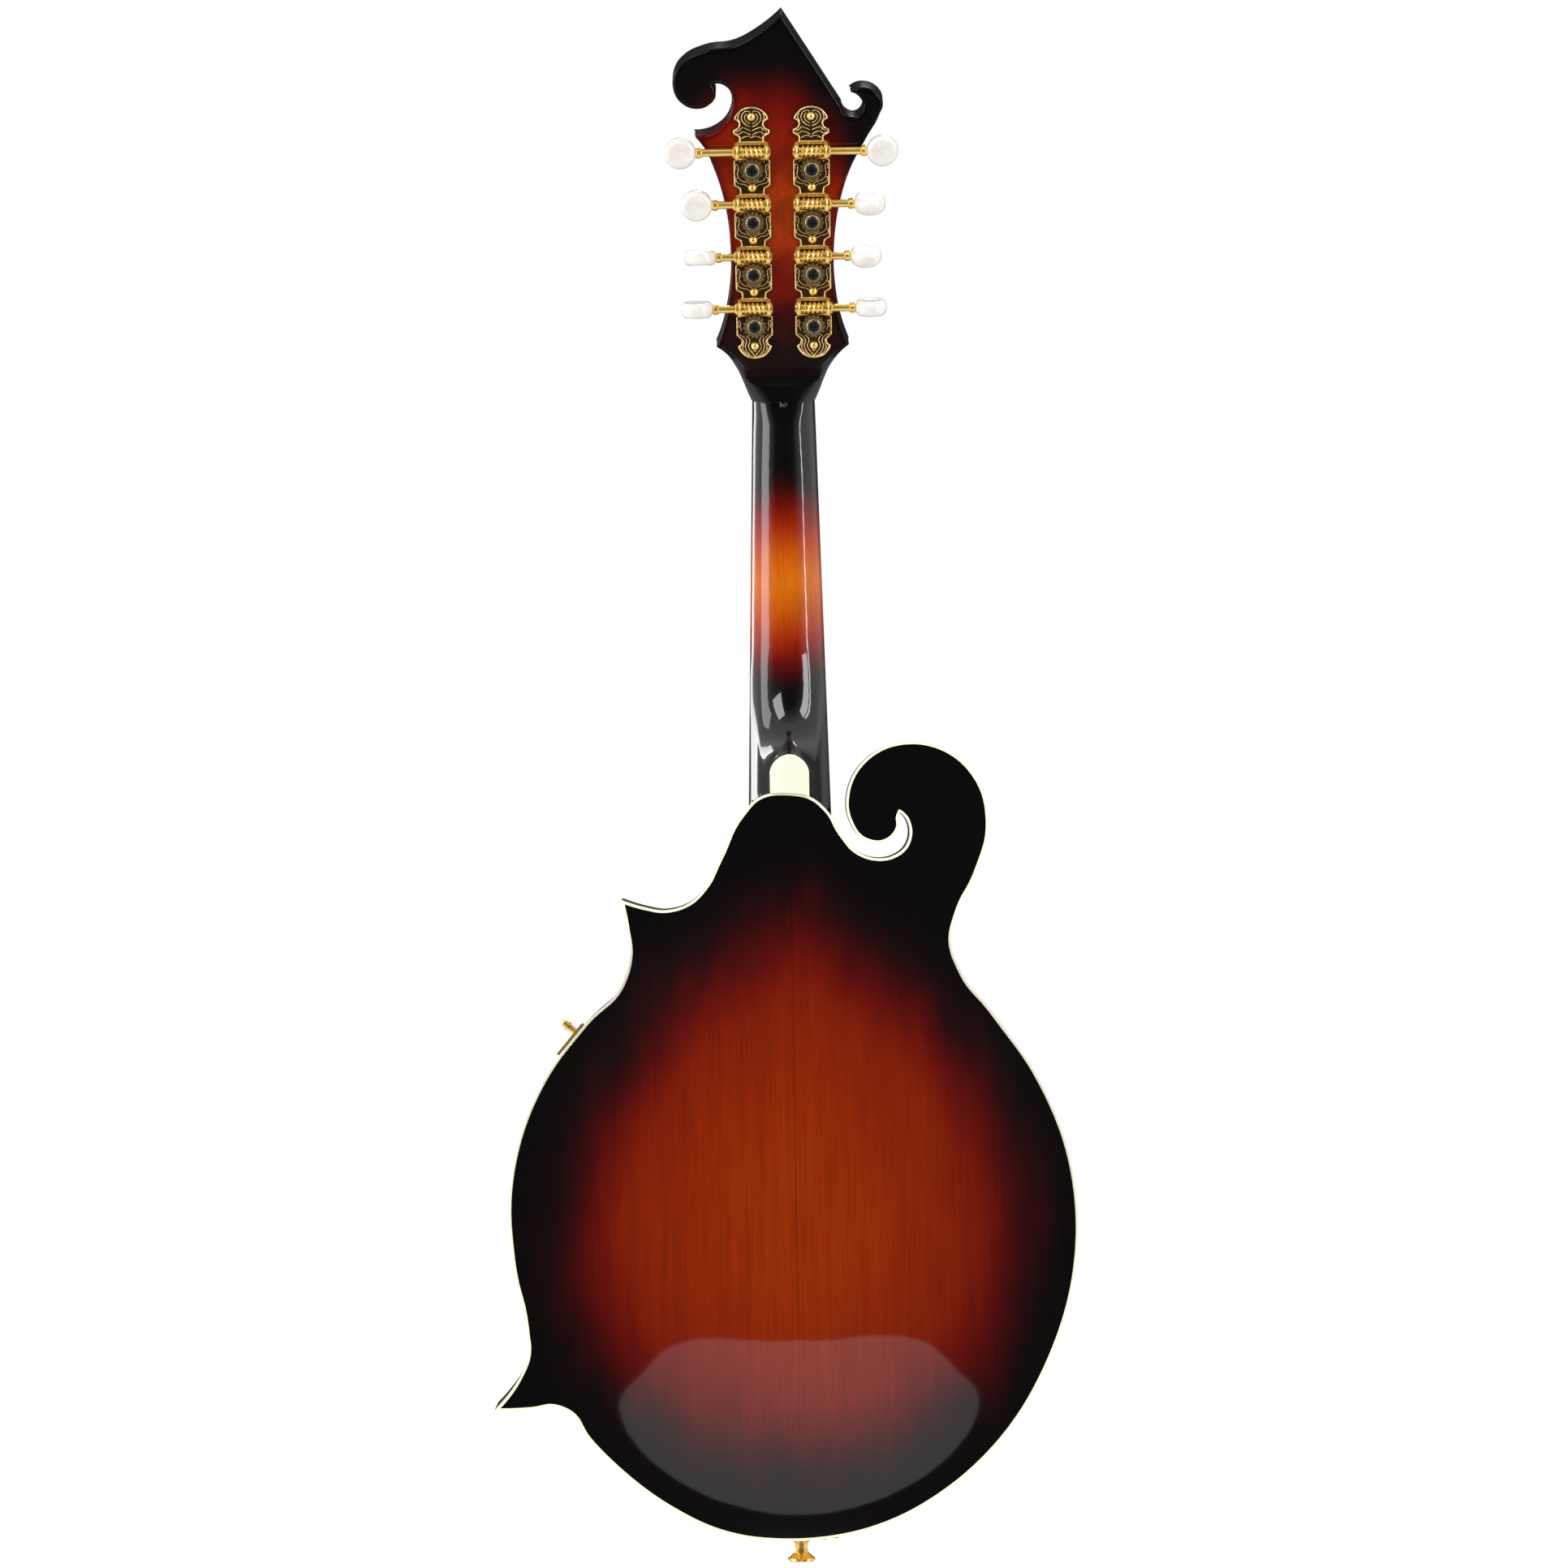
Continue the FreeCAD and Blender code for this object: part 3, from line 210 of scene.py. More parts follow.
def smoothed(loop, step, corner=25.0):
    """The loop with points about a step apart, rounded between real corners."""
    gap = np.linalg.norm(np.roll(loop, -1, 0) - loop, axis=1)
    loop = loop[gap > 0.02]
    ahead = np.roll(loop, -1, 0) - loop
    behind = loop - np.roll(loop, 1, 0)
    turn = np.degrees(np.arctan2(
        behind[:, 0] * ahead[:, 1] - behind[:, 1] * ahead[:, 0],
        (behind * ahead).sum(1)))
    is_corner = np.abs(turn) > corner
    count = len(loop)
    out = []
    for i in range(count):
        a, b = loop[i], loop[(i + 1) % count]
        before = loop[i - 1] if not is_corner[i] else 2 * a - b
        after = loop[(i + 2) % count] if not is_corner[(i + 1) % count] else 2 * b - a
        length = np.linalg.norm(b - a)
        parts = max(1, int(round(length / step)))
        t1 = (b - before) * (length / (np.linalg.norm(b - before) + 1e-9))
        t2 = (after - a) * (length / (np.linalg.norm(after - a) + 1e-9))
        for k in range(parts):
            t = k / parts
            out.append((2 * t**3 - 3 * t**2 + 1) * a + (t**3 - 2 * t**2 + t) * t1
                       + (3 * t**2 - 2 * t**3) * b + (t**3 - t**2) * t2)
    return np.array(out)


def distance_to(loop, spots):
    """Distance from each spot to a closed outline."""
    a = loop
    b = np.roll(loop, -1, 0)
    out = np.empty(len(spots))
    way = b - a
    size = (way**2).sum(1) + 1e-12
    for i in range(0, len(spots), 4000):
        p = spots[i:i + 4000]
        gap = p[:, None, :] - a[None]
        t = np.clip((gap * way).sum(2) / size, 0, 1)
        out[i:i + 4000] = np.sqrt(((gap - t[..., None] * way) ** 2).sum(2).min(1))
    return out


def inside(loop, spots):
    """True for each spot that lies inside a closed outline."""
    x, z = spots[:, 0][:, None], spots[:, 1][:, None]
    x0, z0 = loop[:, 0], loop[:, 1]
    x1, z1 = np.roll(x0, -1), np.roll(z0, -1)
    out = np.empty(len(spots), bool)
    for i in range(0, len(spots), 4000):
        s = slice(i, i + 4000)
        span = (z0 > z[s]) != (z1 > z[s])
        with np.errstate(divide="ignore", invalid="ignore"):
            cross = x0 + (z[s] - z0) * (x1 - x0) / (z1 - z0)
        out[s] = (np.sum(span & (x[s] < cross), axis=1) % 2) == 1
    return out


def level(height):
    """Picks the flat faces at one height along Y."""
    return lambda centres, normals: (abs(centres[:, 1] - height) < 0.02) & (abs(normals[:, 1]) > 0.99)


binding_loops = face_loops("back_binding", level(back_edge))
body_loop, plate_loop = (smoothed(l, 1.5) for l in binding_loops[:2])
top_loops = face_loops("soundboard", lambda centres, normals: (normals[:, 1] > 0.5) & (centres[:, 1] > 6))
hole_loops = [smoothed(l, 1.2) for l in top_loops[1:3]]
head_loops = face_loops("headstock_overlay", level(0.0), off_head)
notch = (abs(head_loops[0][:, 0]) < 5.6) & (head_loops[0][:, 1] < 25.5)
head_loop = smoothed(head_loops[0][~notch], 0.8)
print("body outline:", len(body_loop), "points; sound holes:", [round(area_of(l)) for l in hole_loops],
      "square mm; headstock:", len(head_loop), "points")

# %% [markdown]
# ## Finishes
# Every finish is procedural. They share one maker, which lays a broad
# mottling and a fine grain over a base colour, both read from Object
# coordinates so that nothing slides when a piece moves. The grain's three
# scales stretch it: small along the neck's direction and large across it
# gives wood, equal scales give stone or plastic.

# %% A maker of finishes
def shader(name):
    material = bpy.data.materials.new(name)
    material.use_nodes = True
    tree = material.node_tree
    return material, tree, tree.nodes["Principled BSDF"]


def add(tree, kind, **settings):
    node = tree.nodes.new(kind)
    for key, value in settings.items():
        setattr(node, key, value)
    return node


def noise_field(tree, scales, detail=3.0, seed=0.0, roughness=0.6):
    """A noise value between 0 and 1 on Object coordinates, stretched by scales."""
    where = add(tree, "ShaderNodeTexCoord")
    place = add(tree, "ShaderNodeMapping")
    place.inputs["Scale"].default_value = scales
    place.inputs["Location"].default_value = (seed, seed * 0.7, seed * 1.3)
    noise = add(tree, "ShaderNodeTexNoise")
    noise.inputs["Scale"].default_value = 1.0
    noise.inputs["Detail"].default_value = detail
    noise.inputs["Roughness"].default_value = roughness
    tree.links.new(where.outputs["Object"], place.inputs["Vector"])
    tree.links.new(place.outputs["Vector"], noise.inputs["Vector"])
    return noise.outputs["Fac"]


def spread(tree, value, low, high, new_low, new_high):
    """A value's range moved to a new range and clamped."""
    node = add(tree, "ShaderNodeMapRange", clamp=True)
    limits = {"From Min": low, "From Max": high, "To Min": new_low, "To Max": new_high}
    for label, number in limits.items():
        node.inputs[label].default_value = number
    tree.links.new(value, node.inputs["Value"])
    return node.outputs["Result"]


def tint(tree, colour, value, how="MULTIPLY"):
    """A colour multiplied by a grey value."""
    node = add(tree, "ShaderNodeMix", data_type="RGBA", blend_type=how)
    node.inputs[0].default_value = 1.0
    tree.links.new(colour, node.inputs[6])
    tree.links.new(value, node.inputs[7])
    return node.outputs[2]


def ramp_of(tree, value, stops):
    node = add(tree, "ShaderNodeValToRGB")
    ramp = node.color_ramp
    ramp.interpolation = "B_SPLINE"
    for place, colour in stops[1:-1]:
        ramp.elements.new(place)
    for element, (place, colour) in zip(ramp.elements, stops):
        element.position = place
        element.color = (*colour, 1.0)
    if value is not None:
        tree.links.new(value, node.inputs["Fac"])
    return node.outputs["Color"]


def bump_from(tree, principled, value, strength, distance, socket="Normal"):
    node = add(tree, "ShaderNodeBump")
    node.inputs["Strength"].default_value = strength
    node.inputs["Distance"].default_value = distance
    tree.links.new(value, node.inputs["Height"])
    tree.links.new(node.outputs["Normal"], principled.inputs[socket])


def screen_colour(red, green, blue):
    """A colour as seen on a screen, 0 to 255, as the light values Blender uses."""
    return tuple(((c / 255 + 0.055) / 1.055) ** 2.4 if c > 10 else c / 255 / 12.92
                 for c in (red, green, blue))


# %% [markdown]
# ## Shaded lacquer
# A sunburst is sprayed: amber in the middle, then red, then nearly black at
# the edge. Its shape belongs to the piece, which a shader can't know, so each
# burst piece carries a value from 0 at the black edge to 1 in the middle, as
# a point attribute called burst. A colour ramp turns the value into the
# shade. Grain is multiplied in under the clear coat. A second attribute,
# shine, says how much clear coat the neck has.

# %% Burst finishes
def burst_finish(name, stops, grain_scales, grain_depth, mottle_scales, seed=0.0, seam=True,
                 gloss=0.045):
    material, tree, principled = shader(name)
    burst = add(tree, "ShaderNodeAttribute", attribute_name="burst")
    cloud = spread(tree, noise_field(tree, mottle_scales, 2.0, seed + 3.0), 0.3, 0.7, -0.035, 0.035)
    uneven = add(tree, "ShaderNodeMath", operation="ADD")
    tree.links.new(burst.outputs["Fac"], uneven.inputs[0])
    tree.links.new(cloud, uneven.inputs[1])
    colour = ramp_of(tree, uneven.outputs[0], stops)
    fine = spread(tree, noise_field(tree, grain_scales, 4.0, seed), 0.32, 0.68, 1.0 - grain_depth, 1.0)
    colour = tint(tree, colour, fine)
    broad = (grain_scales[0] * 0.22, grain_scales[1] * 0.22, grain_scales[2] * 0.5)
    slow = spread(tree, noise_field(tree, broad, 2.0, seed + 9.0), 0.3, 0.7, 1.0 - 0.6 * grain_depth, 1.0)
    colour = tint(tree, colour, slow)
    if seam:
        where = add(tree, "ShaderNodeTexCoord")
        parts = add(tree, "ShaderNodeSeparateXYZ")
        tree.links.new(where.outputs["Object"], parts.inputs[0])
        away = add(tree, "ShaderNodeMath", operation="ABSOLUTE")
        tree.links.new(parts.outputs["X"], away.inputs[0])
        colour = tint(tree, colour, spread(tree, away.outputs[0], 0.0001, 0.0006, 0.72, 1.0))
    tree.links.new(colour, principled.inputs["Base Color"])
    tree.links.new(spread(tree, fine, 0.0, 1.0, 0.42, 0.34), principled.inputs["Roughness"])
    principled.inputs["Specular IOR Level"].default_value = 0.04
    principled.inputs["Coat Weight"].default_value = 1.0
    principled.inputs["Coat Roughness"].default_value = gloss
    principled.inputs["Coat IOR"].default_value = 1.5
    ripple = noise_field(tree, (28.0, 28.0, 22.0), 2.0, seed + 17.0)
    bump_from(tree, principled, ripple, 0.10, 0.0006, "Coat Normal")
    return material


back_stops = [
    (0.00, screen_colour(4, 3, 3)), (0.12, screen_colour(7, 3, 3)), (0.18, screen_colour(24, 3, 4)),
    (0.24, screen_colour(57, 4, 5)), (0.32, screen_colour(89, 7, 4)), (0.42, screen_colour(115, 20, 2)),
    (0.54, screen_colour(133, 33, 1)), (0.68, screen_colour(144, 43, 1)),
    (0.90, screen_colour(151, 48, 2)),
]
top_stops = [
    (0.00, screen_colour(12, 10, 9)), (0.10, screen_colour(24, 12, 9)), (0.18, screen_colour(64, 15, 8)),
    (0.28, screen_colour(126, 38, 8)), (0.40, screen_colour(178, 84, 18)),
    (0.58, screen_colour(208, 130, 44)), (0.90, screen_colour(218, 150, 62)),
]
neck_stops = [
    (0.00, screen_colour(4, 3, 3)), (0.12, screen_colour(14, 4, 4)), (0.24, screen_colour(66, 5, 4)),
    (0.38, screen_colour(118, 12, 3)), (0.56, screen_colour(164, 42, 2)),
    (0.78, screen_colour(196, 88, 4)), (1.00, screen_colour(208, 108, 8)),
]
back_lacquer = burst_finish("back lacquer", back_stops, (1500.0, 300.0, 30.0), 0.27, (40.0, 40.0, 14.0))
top_lacquer = burst_finish("soundboard lacquer", top_stops, (1100.0, 100.0, 5.0), 0.34,
                           (30.0, 30.0, 10.0), 5.0)
neck_lacquer = burst_finish("neck lacquer", neck_stops, (1300.0, 900.0, 26.0), 0.24,
                            (60.0, 60.0, 22.0), 11.0, seam=False)
neck_tree = neck_lacquer.node_tree
shine = add(neck_tree, "ShaderNodeAttribute", attribute_name="shine")
neck_tree.links.new(shine.outputs["Fac"], neck_tree.nodes["Principled BSDF"].inputs["Coat Weight"])

# %% [markdown]
# ## Plain finishes
# The rest are one colour each with a fault or two that a real surface has:
# a slow change of tone, a fine texture in the gloss and a slight unevenness.

# %% Plain finishes
def plain_finish(name, colour, second, scales, roughness, metal=0.0, coat=0.0, detail=3.0, seed=0.0,
                 bump=0.0, bump_depth=0.0001, contrast=(0.35, 0.65)):
    material, tree, principled = shader(name)
    field = noise_field(tree, scales, detail, seed)
    mixed = add(tree, "ShaderNodeMix", data_type="RGBA")
    mixed.inputs[6].default_value = (*colour, 1.0)
    mixed.inputs[7].default_value = (*second, 1.0)
    tree.links.new(spread(tree, field, *contrast, 0.0, 1.0), mixed.inputs[0])
    tree.links.new(mixed.outputs[2], principled.inputs["Base Color"])
    fine = noise_field(tree, tuple(3.0 * s for s in scales), 2.0, seed + 5.0)
    tree.links.new(spread(tree, fine, 0.3, 0.7, roughness * 0.8, roughness * 1.25),
                   principled.inputs["Roughness"])
    principled.inputs["Metallic"].default_value = metal
    principled.inputs["Coat Weight"].default_value = coat
    principled.inputs["Coat Roughness"].default_value = 0.06
    if bump:
        bump_from(tree, principled, field, bump, bump_depth)
    return material


gold = plain_finish("gold plate", (0.95, 0.66, 0.20), (0.86, 0.55, 0.14), (260.0, 260.0, 260.0), 0.19,
                    metal=0.78, seed=1.0)
bronze = plain_finish("dark bronze", (0.070, 0.036, 0.012), (0.036, 0.019, 0.007), (500.0, 500.0, 500.0),
                      0.42, metal=0.85, seed=2.0, bump=0.3)
relief_gold = plain_finish("rubbed gold", (0.92, 0.68, 0.32), (0.70, 0.46, 0.18), (700.0, 700.0, 700.0),
                           0.26, metal=0.7, seed=3.0)
gear_brass = plain_finish("gear brass", (0.48, 0.33, 0.15), (0.34, 0.22, 0.09), (600.0, 600.0, 600.0),
                          0.30, metal=1.0, seed=4.0)
black_screw = plain_finish("black oxide", (0.004, 0.005, 0.006), (0.010, 0.011, 0.013),
                           (500.0, 500.0, 500.0), 0.24, coat=0.2, seed=5.0)
steel = plain_finish("steel", (0.60, 0.60, 0.60), (0.46, 0.46, 0.47), (400.0, 400.0, 400.0), 0.28,
                     metal=1.0, seed=6.0)
nickel = plain_finish("nickel", (0.74, 0.72, 0.68), (0.60, 0.58, 0.55), (500.0, 500.0, 500.0), 0.20,
                      metal=1.0, seed=7.0)
cream = plain_finish("cream celluloid", (0.92, 0.87, 0.68), (0.88, 0.82, 0.61), (70.0, 70.0, 40.0), 0.24,
                     coat=0.5, seed=8.0)
ebony = plain_finish("ebony", (0.020, 0.016, 0.014), (0.045, 0.035, 0.028), (900.0, 900.0, 22.0), 0.38,
                     seed=9.0, bump=0.15)
black_plastic = plain_finish("black plastic", (0.014, 0.014, 0.015), (0.020, 0.019, 0.019),
                             (120.0, 120.0, 120.0), 0.12, coat=0.6, seed=10.0)
bone = plain_finish("bone", (0.82, 0.77, 0.62), (0.74, 0.67, 0.50), (300.0, 300.0, 60.0), 0.34, coat=0.2,
                    seed=11.0)
inside_wood = plain_finish("bare spruce", (0.66, 0.46, 0.25), (0.52, 0.34, 0.17), (700.0, 700.0, 10.0),
                           0.62, seed=12.0, bump=0.2)
rim_lacquer = plain_finish("rim lacquer", (0.0046, 0.0032, 0.0030), (0.011, 0.0042, 0.0030),
                           (16.0, 260.0, 14.0), 0.40, coat=1.0, seed=13.0)
veneer = plain_finish("head veneer", (0.010, 0.009, 0.009), (0.016, 0.013, 0.012), (900.0, 300.0, 20.0),
                      0.30, coat=1.0, seed=14.0)
print("finishes:", len(bpy.data.materials))


# %% [markdown]
# ## Cut pearl
# The buttons are milky with soft clouds and a warm tint where the light
# passes through their rims. Two noise fields give the clouds, a faint
# subsurface share lets light through, and a clear coat gives the polish.

# %% Pearl
def pearl_finish():
    material, tree, principled = shader("pearl")
    clouds = noise_field(tree, (150.0, 150.0, 150.0), 3.0, 21.0)
    colour = ramp_of(tree, clouds, [
        (0.28, (0.68, 0.62, 0.56)), (0.44, (0.73, 0.69, 0.65)), (0.56, (0.78, 0.75, 0.72)),
        (0.70, (0.70, 0.65, 0.60))])
    tree.links.new(colour, principled.inputs["Base Color"])
    streaks = noise_field(tree, (420.0, 420.0, 420.0), 2.0, 29.0)
    tree.links.new(spread(tree, streaks, 0.3, 0.7, 0.16, 0.34), principled.inputs["Roughness"])
    principled.inputs["Subsurface Weight"].default_value = 0.35
    principled.inputs["Subsurface Radius"].default_value = (1.0, 0.72, 0.5)
    principled.inputs["Subsurface Scale"].default_value = 0.003
    principled.inputs["Coat Weight"].default_value = 0.5
    principled.inputs["Coat Roughness"].default_value = 0.05
    return material


pearl = pearl_finish()

# %% [markdown]
# ## Finishes for the pieces that keep their CAD shape
# Pieces that are already right in CAD only need a finish. Their meshes are
# left alone; a finish goes into their material list.

# %% Dress the CAD pieces
dress = {
    "rim": rim_lacquer, "head_block": inside_wood, "tail_block": inside_wood, "point_blocks": inside_wood,
    "linings": inside_wood, "tone_bars": inside_wood, "top_binding": cream, "back_binding": cream,
    "heel_cap": cream, "headstock_overlay": veneer, "truss_rod": steel, "truss_rod_nut": gold,
    "truss_rod_cover": black_plastic, "fingerboard": ebony, "fingerboard_riser": veneer,
    "frets": nickel, "position_dots": pearl, "nut": bone, "tuner_plate_left": bronze,
    "tuner_plate_right": bronze, "wood_screws": gold, "post_bushings": gold, "strings": nickel,
    "bridge_base": ebony, "bridge_saddle": ebony, "bridge_posts": gold, "thumbwheel_left": gold,
    "thumbwheel_right": gold, "tailpiece_base": gold, "tailpiece_cover": gold, "strap_button": gold,
    "pickguard": black_plastic, "pickguard_bracket": gold, "soundboard": inside_wood,
    "back_plate": inside_wood, "neck": neck_lacquer,
}
for side in ("left", "right"):
    for number in "1234":
        dress["worm_shaft_%s_%s" % (side, number)] = gold
        dress["tuner_button_%s_%s" % (side, number)] = pearl
        dress["post_gear_%s_%s" % (side, number)] = gear_brass
for name, finish in dress.items():
    nodes[name].data.materials.clear()
    nodes[name].data.materials.append(finish)
print("dressed", len(dress), "of", len(nodes), "CAD pieces")

# %% [markdown]
# ## The carved back and soundboard
# Both plates are carved from thick wood: flat where they are glued to the
# rim, then rising in a full arch. A plate could be modelled as a stretched
# and sculpted grid, but a rule is exact: the height depends only on how far
# a spot is from the middle, measured on an ellipse. So the outline is filled
# with an even web of triangles and every point gets its height from the rule.
# The sprayed burst has a rule of its own, the shape of an egg with its point
# towards the neck.

# %% The arch's rule
arch_centre = -357.0
back_sweep = (135.0, 146.0, 1.77)    # half width, half length, fullness
top_sweep = (135.0, 165.0, 1.6)
back_rise = 11.0
top_rise = 12.0
web_step = 2.4
plate_middle = 4.2
plate_edge = 5.0


def arch(spots, sweep):
    half_width, half_length, fullness = sweep
    reach = np.hypot(spots[:, 0] / half_width, (spots[:, 1] - arch_centre) / half_length)
    return np.where(reach < 1.0, 0.5 + 0.5 * np.cos(np.pi * np.minimum(reach, 1.0) ** fullness), 0.0)


def eased(x, low, high):
    t = np.clip((x - low) / (high - low), 0, 1)
    return t * t * (3 - 2 * t)


def web(loop, holes, step):
    """An even web of triangles inside an outline, leaving holes open."""
    low, high = loop.min(0), loop.max(0)
    rows = []
    for k, z in enumerate(np.arange(low[1], high[1], step * 0.866)):
        x = np.arange(low[0] + (k % 2) * step / 2, high[0], step)
        rows.append(np.stack([x, np.full_like(x, z)], 1))
    grid = np.concatenate(rows)
    keep = inside(loop, grid) & (distance_to(loop, grid) > 0.55 * step)
    for hole in holes:
        keep &= ~inside(hole, grid) & (distance_to(hole, grid) > 0.55 * step)
    spots = [loop, *holes, grid[keep]]
    sides, start = [], 0
    for ring in (loop, *holes):
        count = len(ring)
        sides += [(start + i, start + (i + 1) % count) for i in range(count)]
        start += count
    flat = np.concatenate(spots)
    made = delaunay_2d_cdt([Vector(p) for p in flat], sides, [], 0, 1e-5)
    spots = np.array([p[:] for p in made[0]])
    faces = np.array([f for f in made[2] if len(f) == 3])
    middle = spots[faces].mean(1)
    good = inside(loop, middle)
    for hole in holes:
        good &= ~inside(hole, middle)
    return spots, faces[good]


def rims_of(faces):
    """The sides used by only one face, in the direction that face runs."""
    sides = {}
    for a, b, c in faces.tolist():
        for side in ((a, b), (b, c), (c, a)):
            sides[side] = True
    return [(a, b) for a, b in sides if (b, a) not in sides]


def paint_burst(piece, rule, name="burst"):
    """Stores the rule's value at every point of a piece, for its burst finish."""
    mesh = piece.data
    co = np.empty(len(mesh.vertices) * 3)
    mesh.vertices.foreach_get("co", co)
    values = rule(co.reshape(-1, 3) / mm)
    mesh.attributes.new(name, "FLOAT", "POINT").data.foreach_set("value", values.astype(np.float32))


burst_middle = (1.0, -372.0)
burst_reach = 102.0


def egg(p):
    """0 in the middle of the burst, 1 where red turns to black; pointed at the top."""
    x, up = (p[:, 0] - burst_middle[0]) / burst_reach, p[:, 2] - burst_middle[1]
    power = np.where(up > 0, 1.6, 2.0)
    length = np.where(up > 0, 1.353, 1.049) * burst_reach
    return (abs(x) ** power + abs(up / length) ** power) ** (1.0 / power)


def plate_burst(p):
    return np.interp(egg(p), (0, 0.3, 0.5, 0.65, 0.75, 0.8, 0.85, 0.9, 0.95, 1.0, 1.05, 1.1, 1.2, 1.35),
                     (0.7, 0.66, 0.58, 0.51, 0.46, 0.41, 0.36, 0.31, 0.265, 0.225, 0.19, 0.165, 0.1, 0.0))


def carved_plate(name, node, holes, outside, seat, rise, sweep, material):
    spots, faces = web(plate_loop, holes, web_step)
    shape = arch(spots, sweep)
    hollow = eased(distance_to(plate_loop, spots), 7.0, 14.0)
    way = 1.0 if outside > seat else -1.0
    outer = np.stack([spots[:, 0], outside + way * rise * shape, spots[:, 1]], 1)
    depth = (rise + plate_edge - plate_middle) * shape * hollow
    inner = np.stack([spots[:, 0], seat + way * depth, spots[:, 1]], 1)
    count = len(spots)
    sides = [(a, b, b + count, a + count) for a, b in rims_of(faces)]
    every = faces.tolist() + (faces[:, ::-1] + count).tolist() + sides
    piece = make_piece(name, np.concatenate([outer, inner]), every, material,
                       stands_for=(node,), sharp=40)
    paint_burst(piece, plate_burst)
    return piece


carved_back = carved_plate("carved_back", "back_plate", [], back_edge, back_edge + plate_edge, back_rise,
                           back_sweep, back_lacquer)
carved_top = carved_plate("carved_top", "soundboard", hole_loops, soundboard_edge,
                          soundboard_edge - plate_edge, top_rise, top_sweep, top_lacquer)

# %% [markdown]
# ## The neck, heel and headstock in one piece
# A luthier carves these from one billet, and every part flows into the next.
# Joining separate meshes would leave a seam at each joint. Instead each part
# is written as a field: a number that is negative inside, positive outside
# and close to the distance from the surface. Fields can be joined with a
# smooth minimum, which rounds the joint like a rasp does. A net is then
# drawn where the joined field is zero.

# %% Field helpers
def smooth_least(a, b, reach):
    h = np.clip(0.5 + 0.5 * (b - a) / reach, 0, 1)
    return b + (a - b) * h - reach * h * (1 - h)


class FlatDistance:
    """Distance to an outline, negative inside, kept on a fine flat grid."""

    def __init__(self, loop, low, high, step):
        self.low, self.step = np.array(low, float), step
        self.shape = (np.ceil((np.array(high) - self.low) / step).astype(int) + 1)
        x = self.low[0] + step * np.arange(self.shape[0])
        z = self.low[1] + step * np.arange(self.shape[1])
        spots = np.stack(np.meshgrid(x, z, indexing="ij"), -1).reshape(-1, 2)
        away = distance_to(loop, spots)
        self.grid = np.where(inside(loop, spots), -away, away).reshape(self.shape)

    def __call__(self, x, z):
        u = np.clip((x - self.low[0]) / self.step, 0, self.shape[0] - 1.001)
        v = np.clip((z - self.low[1]) / self.step, 0, self.shape[1] - 1.001)
        i, j = u.astype(int), v.astype(int)
        u, v = u - i, v - j
        g = self.grid
        return ((g[i, j] * (1 - u) + g[i + 1, j] * u) * (1 - v)
                + (g[i, j + 1] * (1 - u) + g[i + 1, j + 1] * u) * v)


def inside_box(p, low, high):
    """How deep a point is in a box: positive inside."""
    return np.minimum(p - low, high - p).min(-1)


def net(field, low, high, step):
    """The surface where a field is zero, as four-sided faces on a grid of cubes."""
    axes = [np.arange(a, b + step, step) for a, b in zip(low, high)]
    shape = tuple(len(a) for a in axes)
    value = np.empty(shape, np.float32)
    for i in range(0, shape[2], 24):
        block = np.stack(np.meshgrid(axes[0], axes[1], axes[2][i:i + 24], indexing="ij"), -1)
        value[:, :, i:i + 24] = field(block.reshape(-1, 3)).reshape(block.shape[:3])
    solid = value < 0
    cells = tuple(n - 1 for n in shape)
    total = np.zeros((*cells, 3), np.float32)
    count = np.zeros(cells, np.float32)
    crossings = []
    for axis in range(3):
        near = tuple(slice(0, -1) if a == axis else slice(None) for a in range(3))
        far = tuple(slice(1, None) if a == axis else slice(None) for a in range(3))
        cross = np.argwhere(solid[near] != solid[far])
        a = value[near][tuple(cross.T)]
        b = value[far][tuple(cross.T)]
        spot = cross.astype(np.float32)
        spot[:, axis] += a / (a - b)
        crossings.append(cross)
        others = [n for n in range(3) if n != axis]
        for d0 in (0, -1):
            for d1 in (0, -1):
                cell = cross.copy()
                cell[:, others[0]] += d0
                cell[:, others[1]] += d1
                fits = ((cell >= 0) & (cell < np.array(cells))).all(1)
                index = tuple(cell[fits].T)
                np.add.at(total, index, spot[fits])
                np.add.at(count, index, 1)
    used = np.argwhere(count > 0)
    number = -np.ones(cells, np.int64)
    number[tuple(used.T)] = np.arange(len(used))
    points = total[tuple(used.T)] / count[tuple(used.T)][:, None]
    points = np.array(low) + points * step
    faces = []
    for axis, cross in enumerate(crossings):
        others = [n for n in range(3) if n != axis]
        ring = []
        for d0, d1 in ((0, 0), (-1, 0), (-1, -1), (0, -1)):
            cell = cross.copy()
            cell[:, others[0]] += d0
            cell[:, others[1]] += d1
            ring.append(number[tuple(cell.T)])
        faces.append(np.stack(ring, 1))
    faces = np.concatenate(faces)
    small = 0.02
    for _ in range(4):
        here = field(points)
        slope = np.stack([field(points + small * e) - here for e in np.eye(3)], 1) / small
        move = -here[:, None] * slope / ((slope**2).sum(1)[:, None] + 1e-6)
        size = np.linalg.norm(move, axis=1)[:, None]
        points = points + move * np.minimum(1.0, 0.5 * step / (size + 1e-9))
    return points, faces


# %% [markdown]
# The shaft's section is half an ellipse. The heel narrows and draws back
# towards the body level by level. The headstock is a slab with softened
# edges, and just above the nut its section changes from the shaft's round to
# the slab's square, which leaves the V that runs up from the neck.

